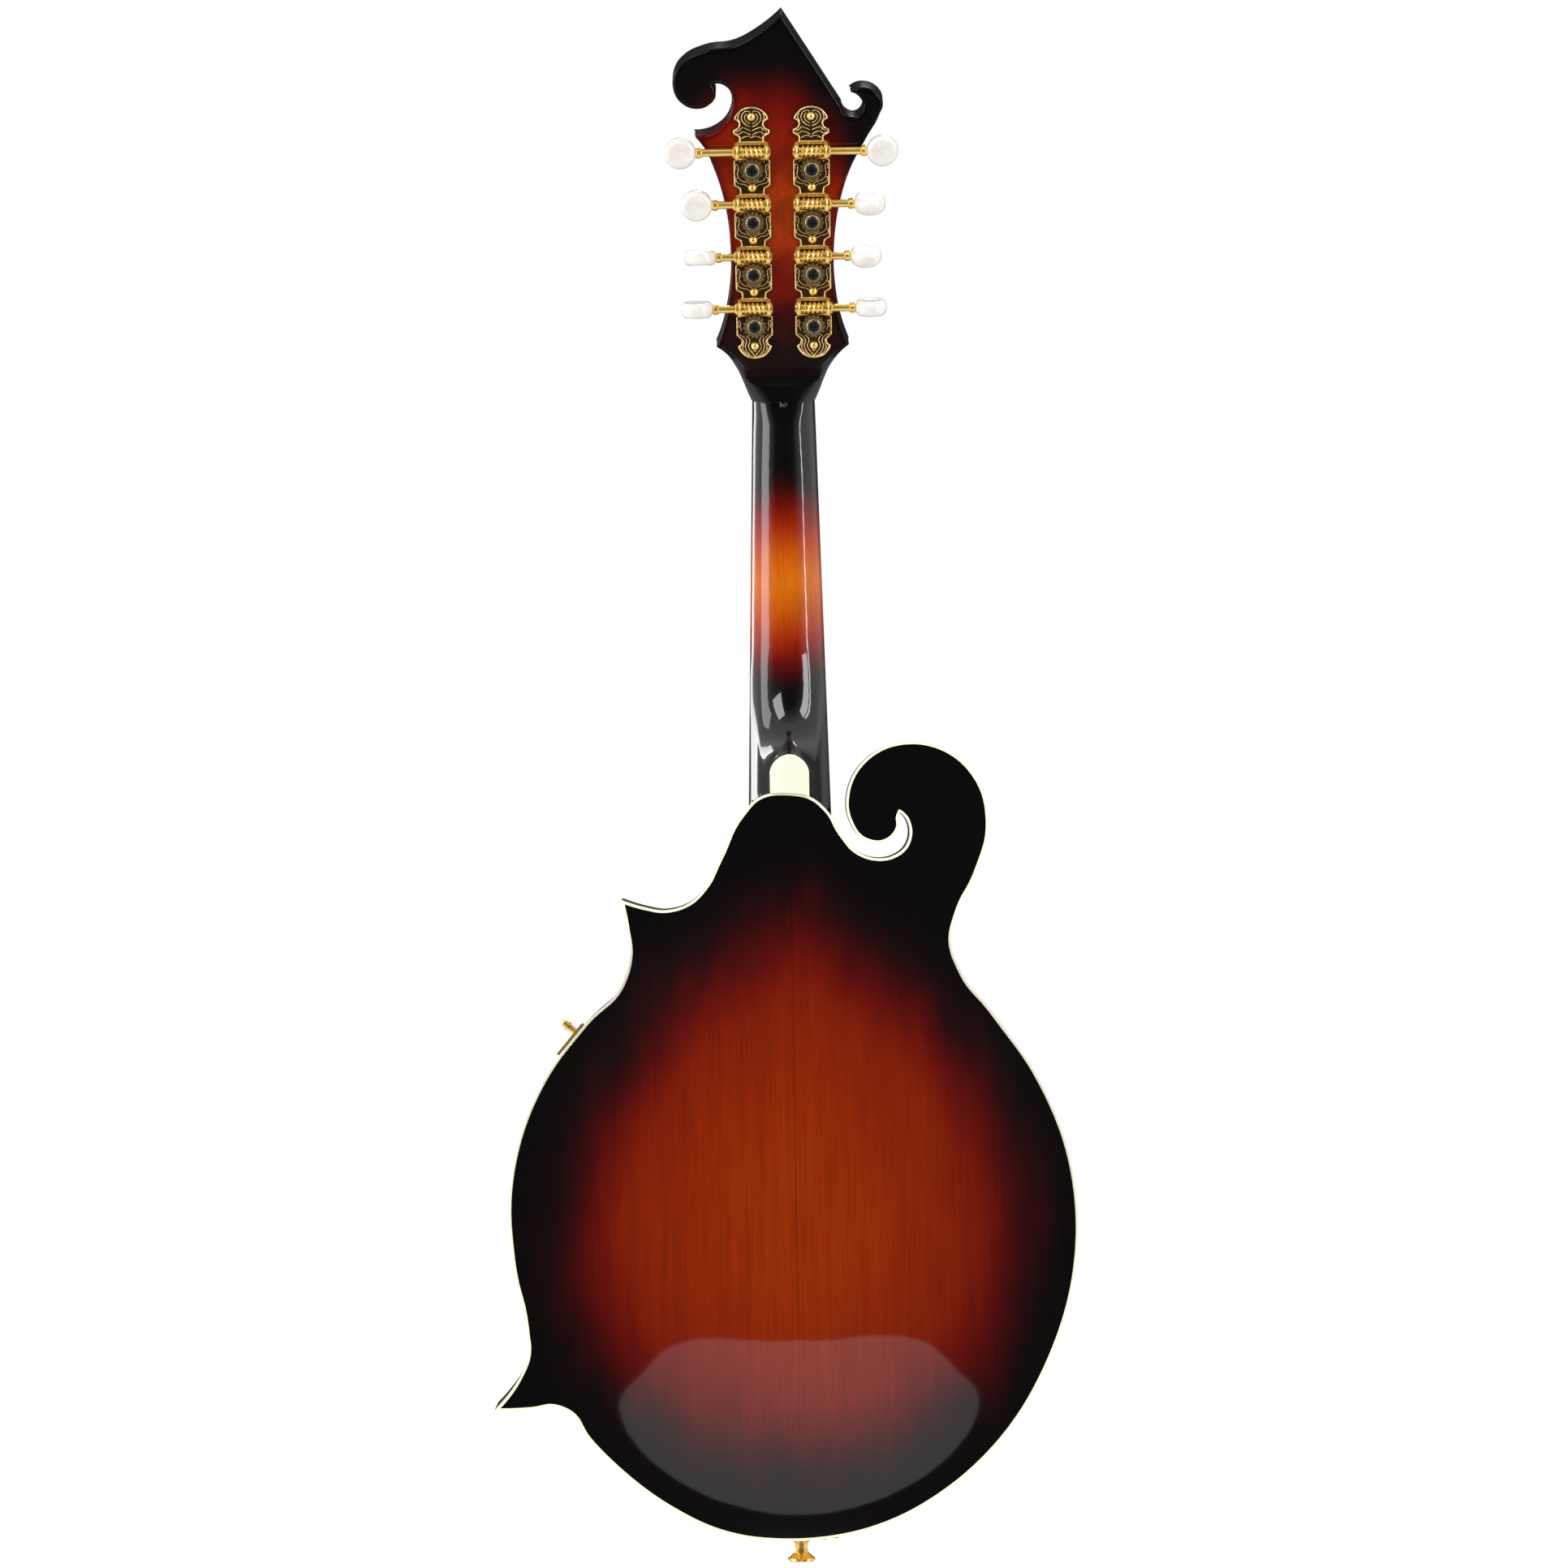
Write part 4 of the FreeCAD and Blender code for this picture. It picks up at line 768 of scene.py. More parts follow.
# %% The neck's field
head_flat = FlatDistance(head_loop, (-56, -6), (56, 186), 0.5)
body_flat = FlatDistance(body_loop, (-60, -230), (60, -140), 0.8)
heel_levels = np.array([
    (6.0, 14.5, -112.0), (-2.5, 13.6, -124.0), (-6.0, 12.9, -138.0), (-11.5, 11.8, -148.5),
    (-18.0, 10.6, -154.5), (-26.0, 9.4, -158.3), (back_edge, 8.8, -160.0)])[::-1]
dense = np.arange(-45.0, 40.0, 0.25)
window = np.hanning(41) / np.hanning(41).sum()
heel_width, heel_tip = (
    np.convolve(
        np.pad(np.interp(dense, heel_levels[:, 0], heel_levels[:, i]), 20, "edge"), window, "valid")
    for i in (1, 2))
root = head_loop[(head_loop[:, 1] < 27)]
root_right = root[root[:, 0] > 0]
root_right = root_right[np.argsort(root_right[:, 1])]
overlay_back = -2.0


def shaft_width(z):
    return 14.25 - 0.0245 * np.minimum(z, 0)


def shaft_field(p):
    x, y, z = p.T
    w = shaft_width(z)
    d = 13.5 - 0.016 * z + 1.3 * eased(z, -34.0, 4.0)
    power = 2.0 + 0.8 * eased(z, -12.0, 4.5)
    round_part = ((abs(x / w) ** power + abs(y / d) ** power) ** (1 / power) - 1) * np.minimum(w, d)
    return np.maximum(round_part, z - nut_length)


def heel_field(p):
    x, y, z = p.T
    w = np.interp(y, dense, heel_width)
    length = np.interp(y, (back_edge, -24.0, -6.0), (1.05, 1.35, 2.1)) * w
    shoulder = np.interp(y, dense, heel_tip) - length
    round_part = (np.sqrt((x / w) ** 2 + ((z - shoulder) / length) ** 2) - 1) * w
    return np.where(z > shoulder, round_part, abs(x) - w)


def head_field(p):
    x, y, z = p.T
    softness = 1.4
    away = head_flat(x, z) + softness
    middle, half = (headstock_back + overlay_back) / 2, (overlay_back - headstock_back) / 2
    depth = abs(y - middle) - half + softness
    slab = np.hypot(np.maximum(away, 0), np.maximum(depth, 0))
    slab = slab + np.minimum(np.maximum(away, depth), 0) - softness
    w = np.interp(z, root_right[:, 1], root_right[:, 0])
    power = 2.8 + 11.2 * eased(z, -1.0, 22.0)
    across, down = abs(x / w), abs(np.minimum(y, 0) / headstock_back)
    section = ((across ** power + down ** power) ** (1 / power) - 1) * 14.0
    section = np.maximum(section, y - overlay_back)
    blend = eased(z, 15.0, 25.0)
    return np.where(z < -2.0, 9.0 + abs(z), section * (1 - blend) + slab * blend)


post_spots = [(headstock_middle + s * plate_offset, first_post + i * post_spacing)
              for s in (-1, 1) for i in range(4)]


def neck_field(p):
    n, h = off_neck(p), off_head(p)
    wood = smooth_least(shaft_field(n), heel_field(p), 9.0)
    wood = np.where(n[:, 2] < 0, np.maximum(wood, abs(n[:, 0]) - shaft_width(n[:, 2])), wood)
    wood = smooth_least(wood, np.maximum(head_field(h), -h[:, 2] - 3.0), 12.0)
    flare = np.interp(h[:, 2], root_right[:, 1], root_right[:, 0])
    limit = np.where(h[:, 2] > 0, flare, shaft_width(n[:, 2]))
    wood = np.where(h[:, 2] < 24.0, np.maximum(wood, abs(n[:, 0]) - limit), wood)
    wood = np.maximum(wood, n[:, 1])
    wood = np.maximum(wood, np.where(p[:, 2] < -100, back_edge - p[:, 1], -20.0))
    wood = np.maximum(wood, -185.0 - n[:, 2])
    body = np.maximum(body_flat(p[:, 0], p[:, 2]) + 0.7, p[:, 1] - soundboard_edge)
    wood = np.maximum(wood, -body)
    wood = np.maximum(wood, inside_box(n, (-2.6, -8.0, -168.0), (2.6, 5.0, 6.0)))
    wood = np.maximum(wood, inside_box(h, (-5.5, -9.5, 0.0), (5.5, 5.0, 25.0)))
    for x, z in post_spots:
        wood = np.maximum(wood, 4.25 - np.hypot(h[:, 0] - x, h[:, 2] - z))
    return wood


low_corner, high_corner = (np.array(c[:]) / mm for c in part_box("neck"))
low_corner[2] = max(low_corner[2], -206.0)
net_step = 0.95
neck_points, neck_faces = net(neck_field, low_corner - 2, high_corner + 2, net_step)


def neck_burst(p):
    n, h = off_neck(p), off_head(p)
    shaft = np.clip(1 - abs(n[:, 2] + 81.0) / 54.0, 0, 1)
    shaft = shaft - 0.10 * np.clip(abs(n[:, 0]) / 15.0, 0, 1) ** 2 * (shaft > 0.1)
    along = np.interp(h[:, 2], (24, 40, 48, 60, 72, 84, 96, 104, 120, 136, 152, 168),
                      (0.10, 0.22, 0.34, 0.43, 0.56, 0.60, 0.60, 0.53, 0.47, 0.35, 0.22, 0.09))
    middle = -12.0 * eased(h[:, 2], 100.0, 130.0)
    head = along * np.clip(1 - ((h[:, 0] - middle) / 62.0) ** 2, 0, 1)
    edge = eased(-head_flat(h[:, 0], h[:, 2]), -1.0, 4.0)
    face = eased(headstock_back - h[:, 1], -6.0, -1.0)
    head = head * (0.55 + 0.45 * edge * face)
    middle_away = np.hypot(h[:, 0] + 6.0, 0.8 * (h[:, 2] - 104.0))
    head = head * np.where(h[:, 2] > 104.0, 1.0 - eased(middle_away, 26.0, 54.0), 1.0)
    return np.where(h[:, 2] > 12.0, head, shaft)


def neck_shine(p):
    """The lacquer is rubbed dull along the headstock's edges."""
    h = off_head(p)
    edge = eased(-head_flat(h[:, 0], h[:, 2]), 1.6, 2.4)
    return np.where(h[:, 2] > 20.0, 0.12 + 0.88 * edge, 1.0)


carved_neck = make_piece("carved_neck", neck_points, neck_faces, neck_lacquer, stands_for=("neck",),
                         sharp=48)
paint_burst(carved_neck, neck_burst)
paint_burst(carved_neck, neck_shine, "shine")

# %% [markdown]
# ## Helpers for Geometry Nodes
# Wires and threads repeat or follow a path, so they are grown by node
# trees. A tree is made once, with named inputs, and used with other sizes.
# The grown shape is then turned into a plain mesh, so that nothing is left
# to compute when the instrument is posed.

# %% Tree helpers
def new_tree(name, inputs):
    tree = bpy.data.node_groups.new(name, "GeometryNodeTree")
    tree.interface.new_socket("Geometry", in_out="INPUT", socket_type="NodeSocketGeometry")
    for label, kind, value in inputs:
        socket = tree.interface.new_socket(label, in_out="INPUT", socket_type="NodeSocket" + kind)
        if value is not None:
            socket.default_value = value
    tree.interface.new_socket("Geometry", in_out="OUTPUT", socket_type="NodeSocketGeometry")
    return tree, tree.nodes.new("NodeGroupInput"), tree.nodes.new("NodeGroupOutput")


def finish_tree(tree, geometry, given, result):
    """Ends a tree the way each one must: real geometry with its finish."""
    real = tree.nodes.new("GeometryNodeRealizeInstances")
    finish = tree.nodes.new("GeometryNodeSetMaterial")
    tree.links.new(geometry, real.inputs[0])
    tree.links.new(real.outputs[0], finish.inputs[0])
    tree.links.new(given.outputs["Material"], finish.inputs["Material"])
    tree.links.new(finish.outputs[0], result.inputs[0])


def grown(tree, base, **values):
    """Points and faces that a tree grows from a base mesh of points and sides."""
    points, sides = base
    mesh = bpy.data.meshes.new("base")
    mesh.from_pydata(np.asarray(points, float).tolist(), sides, [])
    holder = bpy.data.objects.new("grower", mesh)
    bpy.context.scene.collection.objects.link(holder)
    modifier = holder.modifiers.new("grow", "NODES")
    modifier.node_group = tree
    for item in tree.interface.items_tree:
        if item.in_out == "INPUT" and item.name in values:
            modifier[item.identifier] = values[item.name]
    view = bpy.context.evaluated_depsgraph_get()
    made = bpy.data.meshes.new_from_object(holder.evaluated_get(view))
    co = np.empty(len(made.vertices) * 3)
    made.vertices.foreach_get("co", co)
    faces = [p.vertices[:] for p in made.polygons]
    bpy.data.objects.remove(holder)
    return co.reshape(-1, 3), faces


# %% Wires along paths
wire_tree, given, result = new_tree("wire along a path", [
    ("Radius", "Float", 0.3), ("Corners", "Int", 8), ("Material", "Material", None)])
to_curve = wire_tree.nodes.new("GeometryNodeMeshToCurve")
ring = wire_tree.nodes.new("GeometryNodeCurvePrimitiveCircle")
sweep = wire_tree.nodes.new("GeometryNodeCurveToMesh")
sweep.inputs["Fill Caps"].default_value = True
wire_tree.links.new(given.outputs["Geometry"], to_curve.inputs["Mesh"])
wire_tree.links.new(given.outputs["Radius"], ring.inputs["Radius"])
wire_tree.links.new(given.outputs["Corners"], ring.inputs["Resolution"])
wire_tree.links.new(to_curve.outputs["Curve"], sweep.inputs["Curve"])
wire_tree.links.new(ring.outputs["Curve"], sweep.inputs["Profile Curve"])
finish_tree(wire_tree, sweep.outputs["Mesh"], given, result)


def paths(lines, closed=False):
    """Several point lists as one mesh of points and sides."""
    points, sides, start = [], [], 0
    for line in lines:
        count = len(line)
        points.append(np.asarray(line, float))
        sides += [(start + i, start + i + 1) for i in range(count - 1)]
        if closed:
            sides.append((start + count - 1, start))
        start += count
    return np.concatenate(points), sides


def flowing(points, parts=6):
    """A smooth open line through a few points."""
    p = np.asarray(points, float)
    p = np.concatenate([[2 * p[0] - p[1]], p, [2 * p[-1] - p[-2]]])
    out = []
    for a, b, c, d in zip(p, p[1:], p[2:], p[3:]):
        for t in np.arange(parts) / parts:
            out.append(0.5 * (2 * b + (c - a) * t + (2 * a - 5 * b + 4 * c - d) * t * t
                              + (3 * b - a - 3 * c + d) * t**3))
    out.append(p[-2])
    return np.array(out)


# %% [markdown]
# A worm's thread is a helix. The Spiral curve gives the path, and a rounded
# profile swept along it gives the thread.

# %% Worm thread
thread_tree, given, result = new_tree("worm thread", [
    ("Core", "Float", 1.9), ("Length", "Float", 10.0), ("Turns", "Float", 5.0),
    ("Profile", "Float", 0.5), ("Material", "Material", None)])
spiral = thread_tree.nodes.new("GeometryNodeCurveSpiral")
spiral.inputs["Resolution"].default_value = 28
ring = thread_tree.nodes.new("GeometryNodeCurvePrimitiveCircle")
ring.inputs["Resolution"].default_value = 8
sweep = thread_tree.nodes.new("GeometryNodeCurveToMesh")
sweep.inputs["Fill Caps"].default_value = True
for label in ("Start Radius", "End Radius"):
    thread_tree.links.new(given.outputs["Core"], spiral.inputs[label])
thread_tree.links.new(given.outputs["Length"], spiral.inputs["Height"])
thread_tree.links.new(given.outputs["Turns"], spiral.inputs["Rotations"])
thread_tree.links.new(given.outputs["Profile"], ring.inputs["Radius"])
thread_tree.links.new(spiral.outputs["Curve"], sweep.inputs["Curve"])
thread_tree.links.new(ring.outputs["Curve"], sweep.inputs["Profile Curve"])
finish_tree(thread_tree, sweep.outputs["Mesh"], given, result)


def turned(profile, steps=40):
    """A closed turned shape: profile is (distance along, radius), turned about the first axis."""
    profile = [(a, max(r, 0.0)) for a, r in profile]
    points, faces, rows = [], [], []
    for along, radius in profile:
        if radius < 1e-6:
            rows.append([len(points)])
            points.append((along, 0.0, 0.0))
        else:
            rows.append(list(range(len(points), len(points) + steps)))
            for k in range(steps):
                angle = 2 * math.pi * k / steps
                points.append((along, radius * math.cos(angle), radius * math.sin(angle)))
    for low, high in zip(rows, rows[1:]):
        for k in range(steps):
            a, b = low[k % len(low)], low[(k + 1) % len(low)]
            c, d = high[(k + 1) % len(high)], high[k % len(high)]
            face = [v for i, v in enumerate((a, b, c, d)) if v not in (a, b, c, d)[:i]]
            if len(face) > 2:
                faces.append(face)
    return np.array(points), faces


# %% [markdown]
# ## The tuning machines
# Each machine is a worm on a shaft that turns a small gear on the string
# post. The shaft, its thread and the pearl button turn together, so they
# ride on the button's body. The gear, its black screw and the post ride on
# the post's body. The CAD model holds these three as separate solids in one
# node; they are taken apart here so that each can have its own metal.

# %% Flat pieces with holes
def circle(x, z, radius, steps=24):
    angles = 2 * np.pi * np.arange(steps) / steps
    return np.stack([x + radius * np.cos(angles), z + radius * np.sin(angles)], 1)


def pressed(loop, holes, low, high, step):
    """A flat piece with holes, between two heights."""
    spots, faces = web(loop, holes, step)
    count = len(spots)
    points = np.concatenate([
        np.stack([spots[:, 0], np.full(count, h), spots[:, 1]], 1) for h in (low, high)])
    sides = [(a, b, b + count, a + count) for a, b in rims_of(faces)]
    return points, faces.tolist() + (faces[:, ::-1] + count).tolist() + sides


def drawn_in(loop, inset):
    """An outline moved inwards."""
    before, after = np.roll(loop, 1, 0), np.roll(loop, -1, 0)
    a = (loop - before) / np.linalg.norm(loop - before, axis=1)[:, None]
    b = (after - loop) / np.linalg.norm(after - loop, axis=1)[:, None]
    na, nb = np.stack([-a[:, 1], a[:, 0]], 1), np.stack([-b[:, 1], b[:, 0]], 1)
    mitre = (na + nb) / np.maximum(1.0 + (na * nb).sum(1), 0.4)[:, None]
    return loop + inset * mitre


# %% Cross-headed screw, gear and post
gear_low = worm_y - 1.3


def screw_head(node):
    """The head of a gear's screw with its crossed slots, read from the CAD node and closed."""
    mesh = nodes[node].data
    co = off_head(np.array([v.co for v in mesh.vertices], float) / mm)
    faces = np.array([p.vertices[:] for p in mesh.polygons])
    faces = faces[co[faces][:, :, 1].mean(1) < gear_low - 0.01]
    work = bmesh.new()
    for face in faces:
        work.faces.new([work.verts.new(co[i]) for i in face])
    bmesh.ops.remove_doubles(work, verts=work.verts, dist=1e-3)
    bmesh.ops.holes_fill(work, edges=[e for e in work.edges if len(e.link_faces) == 1], sides=0)
    work.verts.index_update()
    made = np.array([v.co[:] for v in work.verts]), [[v.index for v in f.verts] for f in work.faces]
    work.free()
    return made


def gear_outline(x, z, teeth=15, root=4.3, tip=5.25):
    spots = []
    for i in range(teeth * 8):
        angle = 2 * math.pi * i / (teeth * 8)
        height = 0.5 + 0.5 * math.cos(teeth * angle)
        radius = root + (tip - root) * min(1.0, 1.35 * height) ** 0.8
        spots.append((x + radius * math.sin(angle), z + radius * math.cos(angle)))
    spots = np.array(spots)
    return spots if area_of(spots) > 0 else spots[::-1]


post_profile = [
    (gear_low + 0.3, 0), (gear_low + 0.3, 3.05), (2.6, 3.1), (3.0, 2.75), (7.0, 2.75), (7.4, 3.1),
    (11.0, 3.1), (11.7, 2.8), (12.0, 2.2), (12.0, 0)]

# %% Shafts, worms, buttons and gears
button_radius = 7.1
button_thickness = 6.8
reaches = {"left": (25.7, 23.9, 25.1, 32.0), "right": (25.9, 23.8, 25.8, 31.7)}
turns = {"left": (84.0, 76.0, 4.0, 2.0), "right": (88.0, 105.0, 105.0, 2.0)}
shaft_profile = [
    (-8.42, 0), (-8.42, 1.5), (-8.0, 2.2), (-7.6, 2.25), (-7.56, 1.74), (-5.7, 1.74), (-5.6, 1.95),
    (5.6, 1.95), (5.7, 1.74), (7.56, 1.74), (7.6, 2.5), (7.8, 2.68), (8.3, 2.68), (8.55, 2.3),
    (8.6, 1.72)]
button_half = button_thickness / 2
button_profile = [(-button_half + 0.35, 0)] + [
    (-button_half + 0.35 - 0.35 * (k / 6) ** 2, 5.0 * k / 6) for k in range(1, 7)]
for k in range(1, 13):
    angle = math.pi * k / 12
    button_profile.append((-button_half * math.cos(angle), 5.0 + 2.08 * math.sin(angle) ** 0.8))
button_profile += [(button_half - 0.35 + 0.35 * (k / 6) ** 2, 5.0 * k / 6) for k in range(5, 0, -1)]
button_profile.append((button_half - 0.35, 0))

for side, way in (("left", -1), ("right", 1)):
    middle_x = headstock_middle + way * plate_offset
    for i in range(4):
        label = "%s_%d" % (side, i + 1)
        centre = np.array([middle_x, worm_y, first_post + i * post_spacing + worm_distance])
        reach = reaches[side][i]
        stem = reach - button_radius
        profile = shaft_profile + [
            (stem - 2.6, 1.72), (stem - 2.3, 2.3), (stem - 0.6, 2.5), (stem - 0.1, 2.1), (stem + 3.0, 1.6),
            (stem + 3.0, 0)]
        shaft = turned(profile, 36)
        spun = grown(thread_tree, ([(0, 0, 0)], []), Core=2.12, Length=10.2, Turns=5.0, Profile=0.56,
                     Material=gold)
        thread = (spun[0][:, [2, 0, 1]] - [5.1, 0, 0], spun[1])
        points, faces = join_parts([shaft, thread])
        points = points * [way, 1, 1] + centre
        make_piece("worm_" + label, on_head(points), faces, gold, "tuner_" + label,
                   ["worm_shaft_" + label], sharp=38)
        disc, faces = turned(button_profile, 56)
        disc = disc[:, [1, 0, 2]]
        angle = math.radians(turns[side][i])
        spin = np.array(Matrix.Rotation(angle, 3, "X"))
        disc = disc @ spin.T + centre + [way * reach, 0, 0]
        make_piece("button_" + label, on_head(disc), faces, pearl, "tuner_" + label,
                   ["tuner_button_" + label], sharp=60)
        low = centre[2] - worm_distance
        disc = gear_outline(middle_x, low)
        points, faces = pressed(disc, [circle(middle_x, low, 2.2)], gear_low, gear_low + 2.6, 1.6)
        hub = turned([(gear_low + 2.5, 0), (gear_low + 2.5, 4.2), (plate_face - 0.05, 4.2),
                      (plate_face - 0.05, 0)], 32)
        points, faces = join_parts([
            (points, faces), (hub[0][:, [1, 0, 2]] + [middle_x, 0, low], hub[1])])
        make_piece("gear_" + label, on_head(points), faces, gear_brass, "post_" + label,
                   ["post_gear_" + label], sharp=30)
        points, faces = screw_head("post_gear_" + label)
        make_piece("gear_screw_" + label, on_head(points), faces, black_screw, "post_" + label,
                   ["post_gear_" + label], sharp=30)
        points, faces = turned(post_profile, 36)
        make_piece("post_" + label, on_head(points[:, [1, 0, 2]] + [middle_x, 0, low]), faces, gold,
                   "post_" + label, ["post_gear_" + label], sharp=30)
        spun = grown(thread_tree, ([(0, 0, 0)], []), Core=2.95, Length=0.02, Turns=1.0, Profile=0.24,
                     Material=relief_gold)
        collar = (spun[0][:, [0, 2, 1]] + [middle_x, worm_y - 1.38, centre[2] - worm_distance], spun[1])
        make_piece("gear_washer_" + label, on_head(collar[0]), collar[1], relief_gold, "post_" + label,
                   sharp=60)

# %% [markdown]
# ## Engraved tuner plates
# The plates are pressed bronze, aged dark in the hollows and rubbed bright
# on the raised lines. The relief could be a bump pattern, but it has to catch
# light from every side, so the lines are real: half-round wires that follow
# drawn paths, with the other half of each path mirrored.

# %% Plate outline
def plate_outline(middle):
    top = first_post + 3 * post_spacing
    right = [(0.0, first_post - 16.0), (1.7, first_post - 15.85), (3.2, first_post - 15.4),
             (4.8, first_post - 14.6), (6.0, first_post - 13.4), (7.2, first_post - 11.8),
             (7.9, first_post - 10.0), (6.3, first_post - 9.0), (6.0, first_post - 7.4),
             (7.0, first_post - 6.0)]
    for i in range(4):
        c = first_post + i * post_spacing
        right += [(5.6, c - 11.2), (5.9, c - 9.4), (8.3, c - 7.9)] if i else [(8.3, c - 5.2)]
        right += [(8.3, c + 3.7), (7.5, c + 4.25), (7.5, c + 11.95), (5.6, c + 11.95)]
    right += [(5.8, top + 14.2), (8.3, top + 15.7), (8.3, top + 17.6), (6.2, top + 18.6),
              (5.6, top + 20.0), (6.2, top + 21.3), (7.9, top + 22.3), (7.2, top + 24.1),
              (6.0, top + 25.6), (4.8, top + 26.8), (3.2, top + 27.6), (1.7, top + 28.05),
              (0.0, top + 28.2)]
    left = [(-x, z) for x, z in right[-2:0:-1]]
    return np.array([(middle + x, z) for x, z in right + left])


panel_lines = [
    [(1.5, -8.5), (3.2, -7.5), (5.0, -7.1), (6.6, -6.4), (7.2, -5.0), (6.6, -4.2)],
    [(0.8, -7.1), (2.2, -6.4), (4.2, -5.9), (5.7, -4.7), (6.5, -2.8), (6.1, -1.0), (6.1, 0.9),
     (6.9, 1.9), (7.3, 0.8), (7.0, -0.6)],
    [(0.0, -6.3), (1.3, -5.9), (2.8, -5.5)],
    [(5.9, 2.8), (4.8, 3.3), (3.6, 4.4)],
]
dome_lines = [
    [(0.5, 19.0), (2.4, 19.9), (4.0, 21.6), (4.3, 23.6), (3.3, 25.5), (1.5, 26.1), (0.7, 25.6)],
    [(0.6, 20.4), (1.9, 21.2), (2.8, 22.6), (2.7, 24.0), (2.0, 24.8)],
    [(0.5, 17.2), (2.2, 18.0), (4.2, 18.6), (5.3, 17.4), (7.0, 16.8)],
    [(0.5, 15.2), (2.2, 16.2), (4.2, 16.6), (5.4, 15.6), (6.9, 16.0)],
    [(0.0, 14.0), (1.4, 14.6), (3.0, 14.4), (4.4, 13.6)],
    [(5.1, 21.3), (5.9, 23.0), (5.2, 25.0)],
]
flame_lines = [
    [(0.0, -15.2), (0.9, -13.6), (2.3, -11.8), (2.9, -9.8), (2.2, -8.0), (2.6, -6.4), (4.0, -5.2)],
    [(0.6, -15.4), (2.6, -13.9), (3.9, -11.9), (4.3, -9.8), (3.7, -8.0), (4.3, -6.4), (6.0, -5.0),
     (7.2, -4.6)],
    [(2.2, -15.1), (4.3, -13.3), (5.5, -11.2), (5.2, -9.2), (5.0, -7.8), (6.0, -6.4), (7.3, -5.9)],
    [(4.2, -14.3), (6.0, -12.3), (6.8, -10.2)],
    [(0.0, -12.6), (0.7, -11.9)],
    [(5.8, -2.8), (6.5, -1.0), (6.2, 0.8), (6.9, 1.9), (7.3, 0.6), (7.2, -1.4)],
]

for side, way in (("left", -1), ("right", 1)):
    middle_x = headstock_middle + way * plate_offset
    outline_loop = plate_outline(middle_x)
    edge = smoothed(outline_loop, 0.7, corner=36)
    centres = [first_post + i * post_spacing for i in range(4)]
    screws = [centres[3] + 23.4, centres[0] - 10.0] + [c - 9.0 for c in centres[1:]]
    holes = [circle(middle_x, c, 3.15) for c in centres] + [circle(middle_x, z, 0.9, 12) for z in screws]
    points, faces = pressed(edge, holes, plate_face, headstock_back, 2.0)
    make_piece("plate_base_" + side, on_head(points), faces, bronze,
               stands_for=["tuner_plate_" + side], sharp=30)
    border = drawn_in(edge, 0.5)
    lines = []
    drawings = ((panel_lines, centres[1:]), (dome_lines, [centres[3]]), (flame_lines, [centres[0]]))
    for group, anchors in drawings:
        for anchor in anchors:
            for line in group:
                for mirror in (-1, 1):
                    path = flowing(line)
                    lines.append([(middle_x + mirror * x, plate_face, anchor + z) for x, z in path])
    relief = grown(wire_tree, paths(lines), Radius=0.19, Corners=8, Material=relief_gold)
    frame_line = grown(wire_tree, paths([[(x, plate_face, z) for x, z in border]], True), Radius=0.36,
                       Corners=8, Material=relief_gold)
    points, faces = join_parts([relief, frame_line])
    make_piece("plate_relief_" + side, on_head(points), faces, relief_gold, sharp=60)
    cheek = []
    for k in range(17):
        angle = math.pi * k / 16
        cheek.append((worm_y - 1.0 - 2.4 * math.sin(angle), -3.85 * math.cos(angle) * 0.86))
    cheek = np.array([(plate_face + 0.05, 3.85), (plate_face + 0.05, -3.85), (worm_y + 0.6, -3.85)]
                     + cheek + [(worm_y + 0.6, 3.85)])
    cheek = cheek if area_of(cheek) > 0 else cheek[::-1]
    bore = circle(worm_y, 0.0, 1.8)
    slab = pressed(cheek, [bore], 0.0, 1.8, 1.4)
    bead = grown(wire_tree, paths([[(0.9, u, v) for u, v in drawn_in(cheek, 0.05)]], True), Radius=0.34,
                 Corners=8, Material=gold)
    parts = []
    for c in centres:
        for start in (-7.5, 5.7):
            shift = np.array([middle_x + start, 0.0, c + worm_distance])
            parts.append((slab[0][:, [1, 0, 2]] + shift, slab[1]))
            parts.append((bead[0] + shift, bead[1]))
        saddle = turned([(-6.0, 0), (-6.0, 1.1), (6.0, 1.1), (6.0, 0)], 16)
        for edge_z in (-3.3, 3.3):
            parts.append((saddle[0] + [middle_x, plate_face + 0.1, c + worm_distance + edge_z], saddle[1]))
    points, faces = join_parts(parts)
    make_piece("worm_cheeks_" + side, on_head(points), faces, gold, sharp=38)
print("relief lines per plate:", len(lines))

# %% [markdown]
# ## String coils
# In CAD each string stops where it touches its post. On an instrument it
# winds on from there. A coil could be swept by hand, but a path and a tube
# that follows it give every coil from the same few numbers: the string's
# thickness and how many turns fit above the headstock.

# %% Coils on the posts
string_radii = {"left": (0.14, 0.14, 0.19, 0.19), "right": (0.50, 0.50, 0.33, 0.33)}
string_height = 4.0
coil_room = 2.3

for side, way in (("left", -1), ("right", 1)):
    for i, radius in enumerate(string_radii[side]):
        turns = min(4.2, coil_room / (2.1 * radius))
        along = np.linspace(0.0, 1.0, int(28 * turns))
        angle = (np.pi if way > 0 else 0.0) + way * 2 * np.pi * turns * along
        reach = 3.1 + radius + 0.03
        coil = np.stack([headstock_middle + way * plate_offset + reach * np.cos(angle),
                         string_height - 2.1 * radius * turns * along,
                         first_post + i * post_spacing + reach * np.sin(angle)], 1)
        points, faces = grown(wire_tree, paths([coil.tolist()]), Radius=radius, Corners=8,
                              Material=nickel)
        label = side + "_" + str(i + 1)
        make_piece("string_coil_" + label, on_head(points), faces, nickel, "post_" + label,
                   sharp=60)
print("coils:", 8)

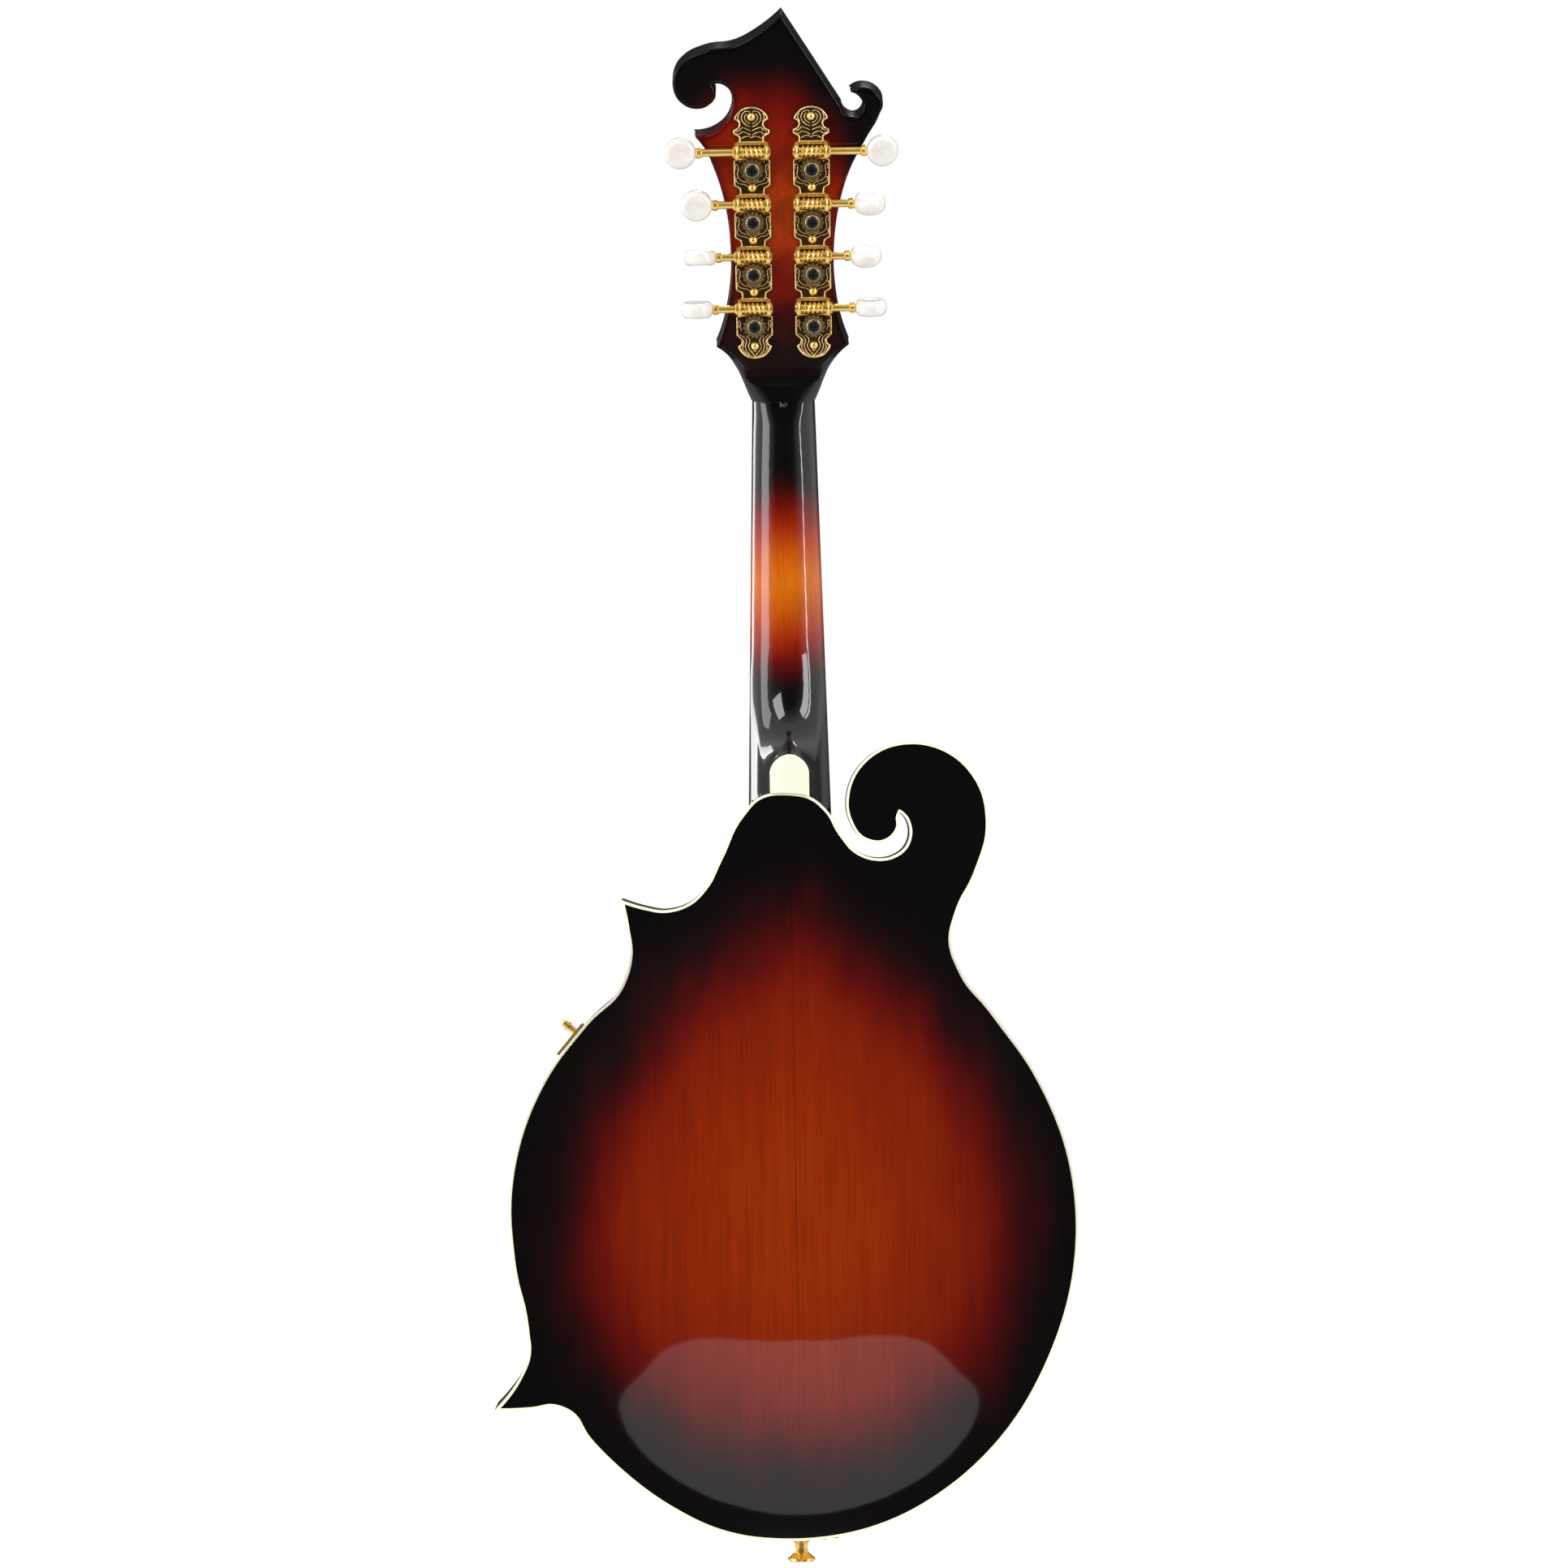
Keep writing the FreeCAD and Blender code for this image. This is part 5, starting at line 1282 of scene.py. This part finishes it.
# %% [markdown]
# ## Floor, backdrop and light
# A plain pale studio. An oval panel low behind the instrument gives the
# rounded highlight on the lower back. A wide wall on the left and a narrow
# strip on the right draw the bright bands down the neck. The walls of the
# room are pale to the sides and dark ahead, and what the camera sees past
# the instrument is plain white.

# %% Stage
def panel(name, place, aim, size, glow, shape="RECTANGLE"):
    """A flat light of a given glow; glow 1 is as bright as white paper."""
    data = bpy.data.lights.new(name, "AREA")
    data.shape = shape
    data.size, data.size_y = size
    data.energy = glow * math.pi * size[0] * size[1] * (0.785 if shape == "ELLIPSE" else 1.0)
    light = bpy.data.objects.new(name, data)
    bpy.context.scene.collection.objects.link(light)
    light.location = place
    light.visible_camera = False
    light.rotation_euler = (Vector(aim) - Vector(place)).to_track_quat("-Z", "Y").to_euler()
    return light


middle = (0.0, -0.03, -0.18)
panel("key panel", (-1.3, -2.3, 1.5), middle, (1.2, 1.2), 8.2)
panel("right panel", (2.0, -1.9, 0.6), middle, (0.8, 1.6), 8.6)
panel("left wall", (-2.3, -0.9, -0.1), middle, (1.3, 2.2), 4.4)
panel("right strip", (1.95, -1.13, -0.1), middle, (0.16, 2.2), 11.0)
panel("low panel", (0.0, -0.744, -0.713), (0.0, 0.5, -0.713), (0.553, 0.225), 0.9, "ELLIPSE")
panel("front key", (0.5, 1.7, 2.4), middle, (1.2, 1.2), 9.0)
panel("front left", (-2.1, 1.9, 0.3), middle, (0.9, 1.6), 5.0)

world = bpy.data.worlds.new("pale studio")
bpy.context.scene.world = world
world.use_nodes = True
sky = world.node_tree
backdrop = sky.nodes["Background"]
backdrop.inputs["Color"].default_value = (1.0, 1.0, 1.0, 1.0)
backdrop.inputs["Strength"].default_value = 1.0
walls = add(sky, "ShaderNodeBackground")
walls.inputs["Color"].default_value = (1.0, 1.0, 1.0, 1.0)
direction = add(sky, "ShaderNodeTexCoord")
split = add(sky, "ShaderNodeSeparateXYZ")
sky.links.new(direction.outputs["Generated"], split.inputs[0])
facing = add(sky, "ShaderNodeMath", operation="ABSOLUTE")
sky.links.new(split.outputs["Y"], facing.inputs[0])
sky.links.new(spread(sky, facing.outputs[0], 0.45, 0.85, 1.0, 0.055), walls.inputs["Strength"])
path = add(sky, "ShaderNodeLightPath")
choose = add(sky, "ShaderNodeMixShader")
sky.links.new(path.outputs["Is Camera Ray"], choose.inputs[0])
sky.links.new(walls.outputs[0], choose.inputs[1])
sky.links.new(backdrop.outputs[0], choose.inputs[2])
sky.links.new(choose.outputs[0], sky.nodes["World Output"].inputs["Surface"])

floor_mesh = bpy.data.meshes.new("floor")
floor_height = -0.53
floor_corners = [(x, y, floor_height) for x, y in ((-6, -6), (6, -6), (6, 6), (-6, 6))]
floor_mesh.from_pydata(floor_corners, [], [(0, 1, 2, 3)])
floor = bpy.data.objects.new("floor", floor_mesh)
bpy.context.scene.collection.objects.link(floor)
paper, _, paper_shader = shader("pale floor")
paper_shader.inputs["Base Color"].default_value = (0.9, 0.9, 0.9, 1.0)
paper_shader.inputs["Roughness"].default_value = 0.9
paper_shader.inputs["Emission Color"].default_value = (1.0, 1.0, 1.0, 1.0)
paper_shader.inputs["Emission Strength"].default_value = 1.0
floor_mesh.materials.append(paper)
floor.visible_diffuse = False
floor.visible_glossy = False
floor.visible_shadow = False
floor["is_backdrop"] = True

# %% [markdown]
# ## Camera
# It stands straight behind the instrument, level with the neck's joint, far
# enough back for little perspective, and leans by under a degree.

# %% Camera
lens = bpy.data.cameras.new("camera")
camera = bpy.data.objects.new("camera", lens)
bpy.context.scene.collection.objects.link(camera)
bpy.context.scene.camera = camera
distance = 2.8
shown_width = 0.705
lens.sensor_width = 36.0
lens.lens = 36.0 * distance / shown_width
camera.location = (-0.0025, -0.033 - distance, -0.1733)
roll = math.radians(-0.9)
upright = Matrix.Rotation(math.radians(90), 3, "X")
camera.rotation_euler = (upright @ Matrix.Rotation(roll, 3, "Z")).to_euler()
lens.clip_start, lens.clip_end = 0.05, 50.0
bpy.context.scene.view_settings.view_transform = "Standard"
bpy.context.scene.view_settings.look = "None"
print("lens, mm:", round(lens.lens, 1))

# %% [markdown]
# ## Print sizes and finish
# The visual model's box and the CAD model's box are both printed at the end.
# The visual model has to stay inside the CAD model's box.

# %% Finish
seen_low, seen_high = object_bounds()
for name, a, b in zip("XYZ", seen_high - seen_low, cad_high - cad_low):
    print(name, "visual", round(1000 * a, 2), "CAD", round(1000 * b, 2))
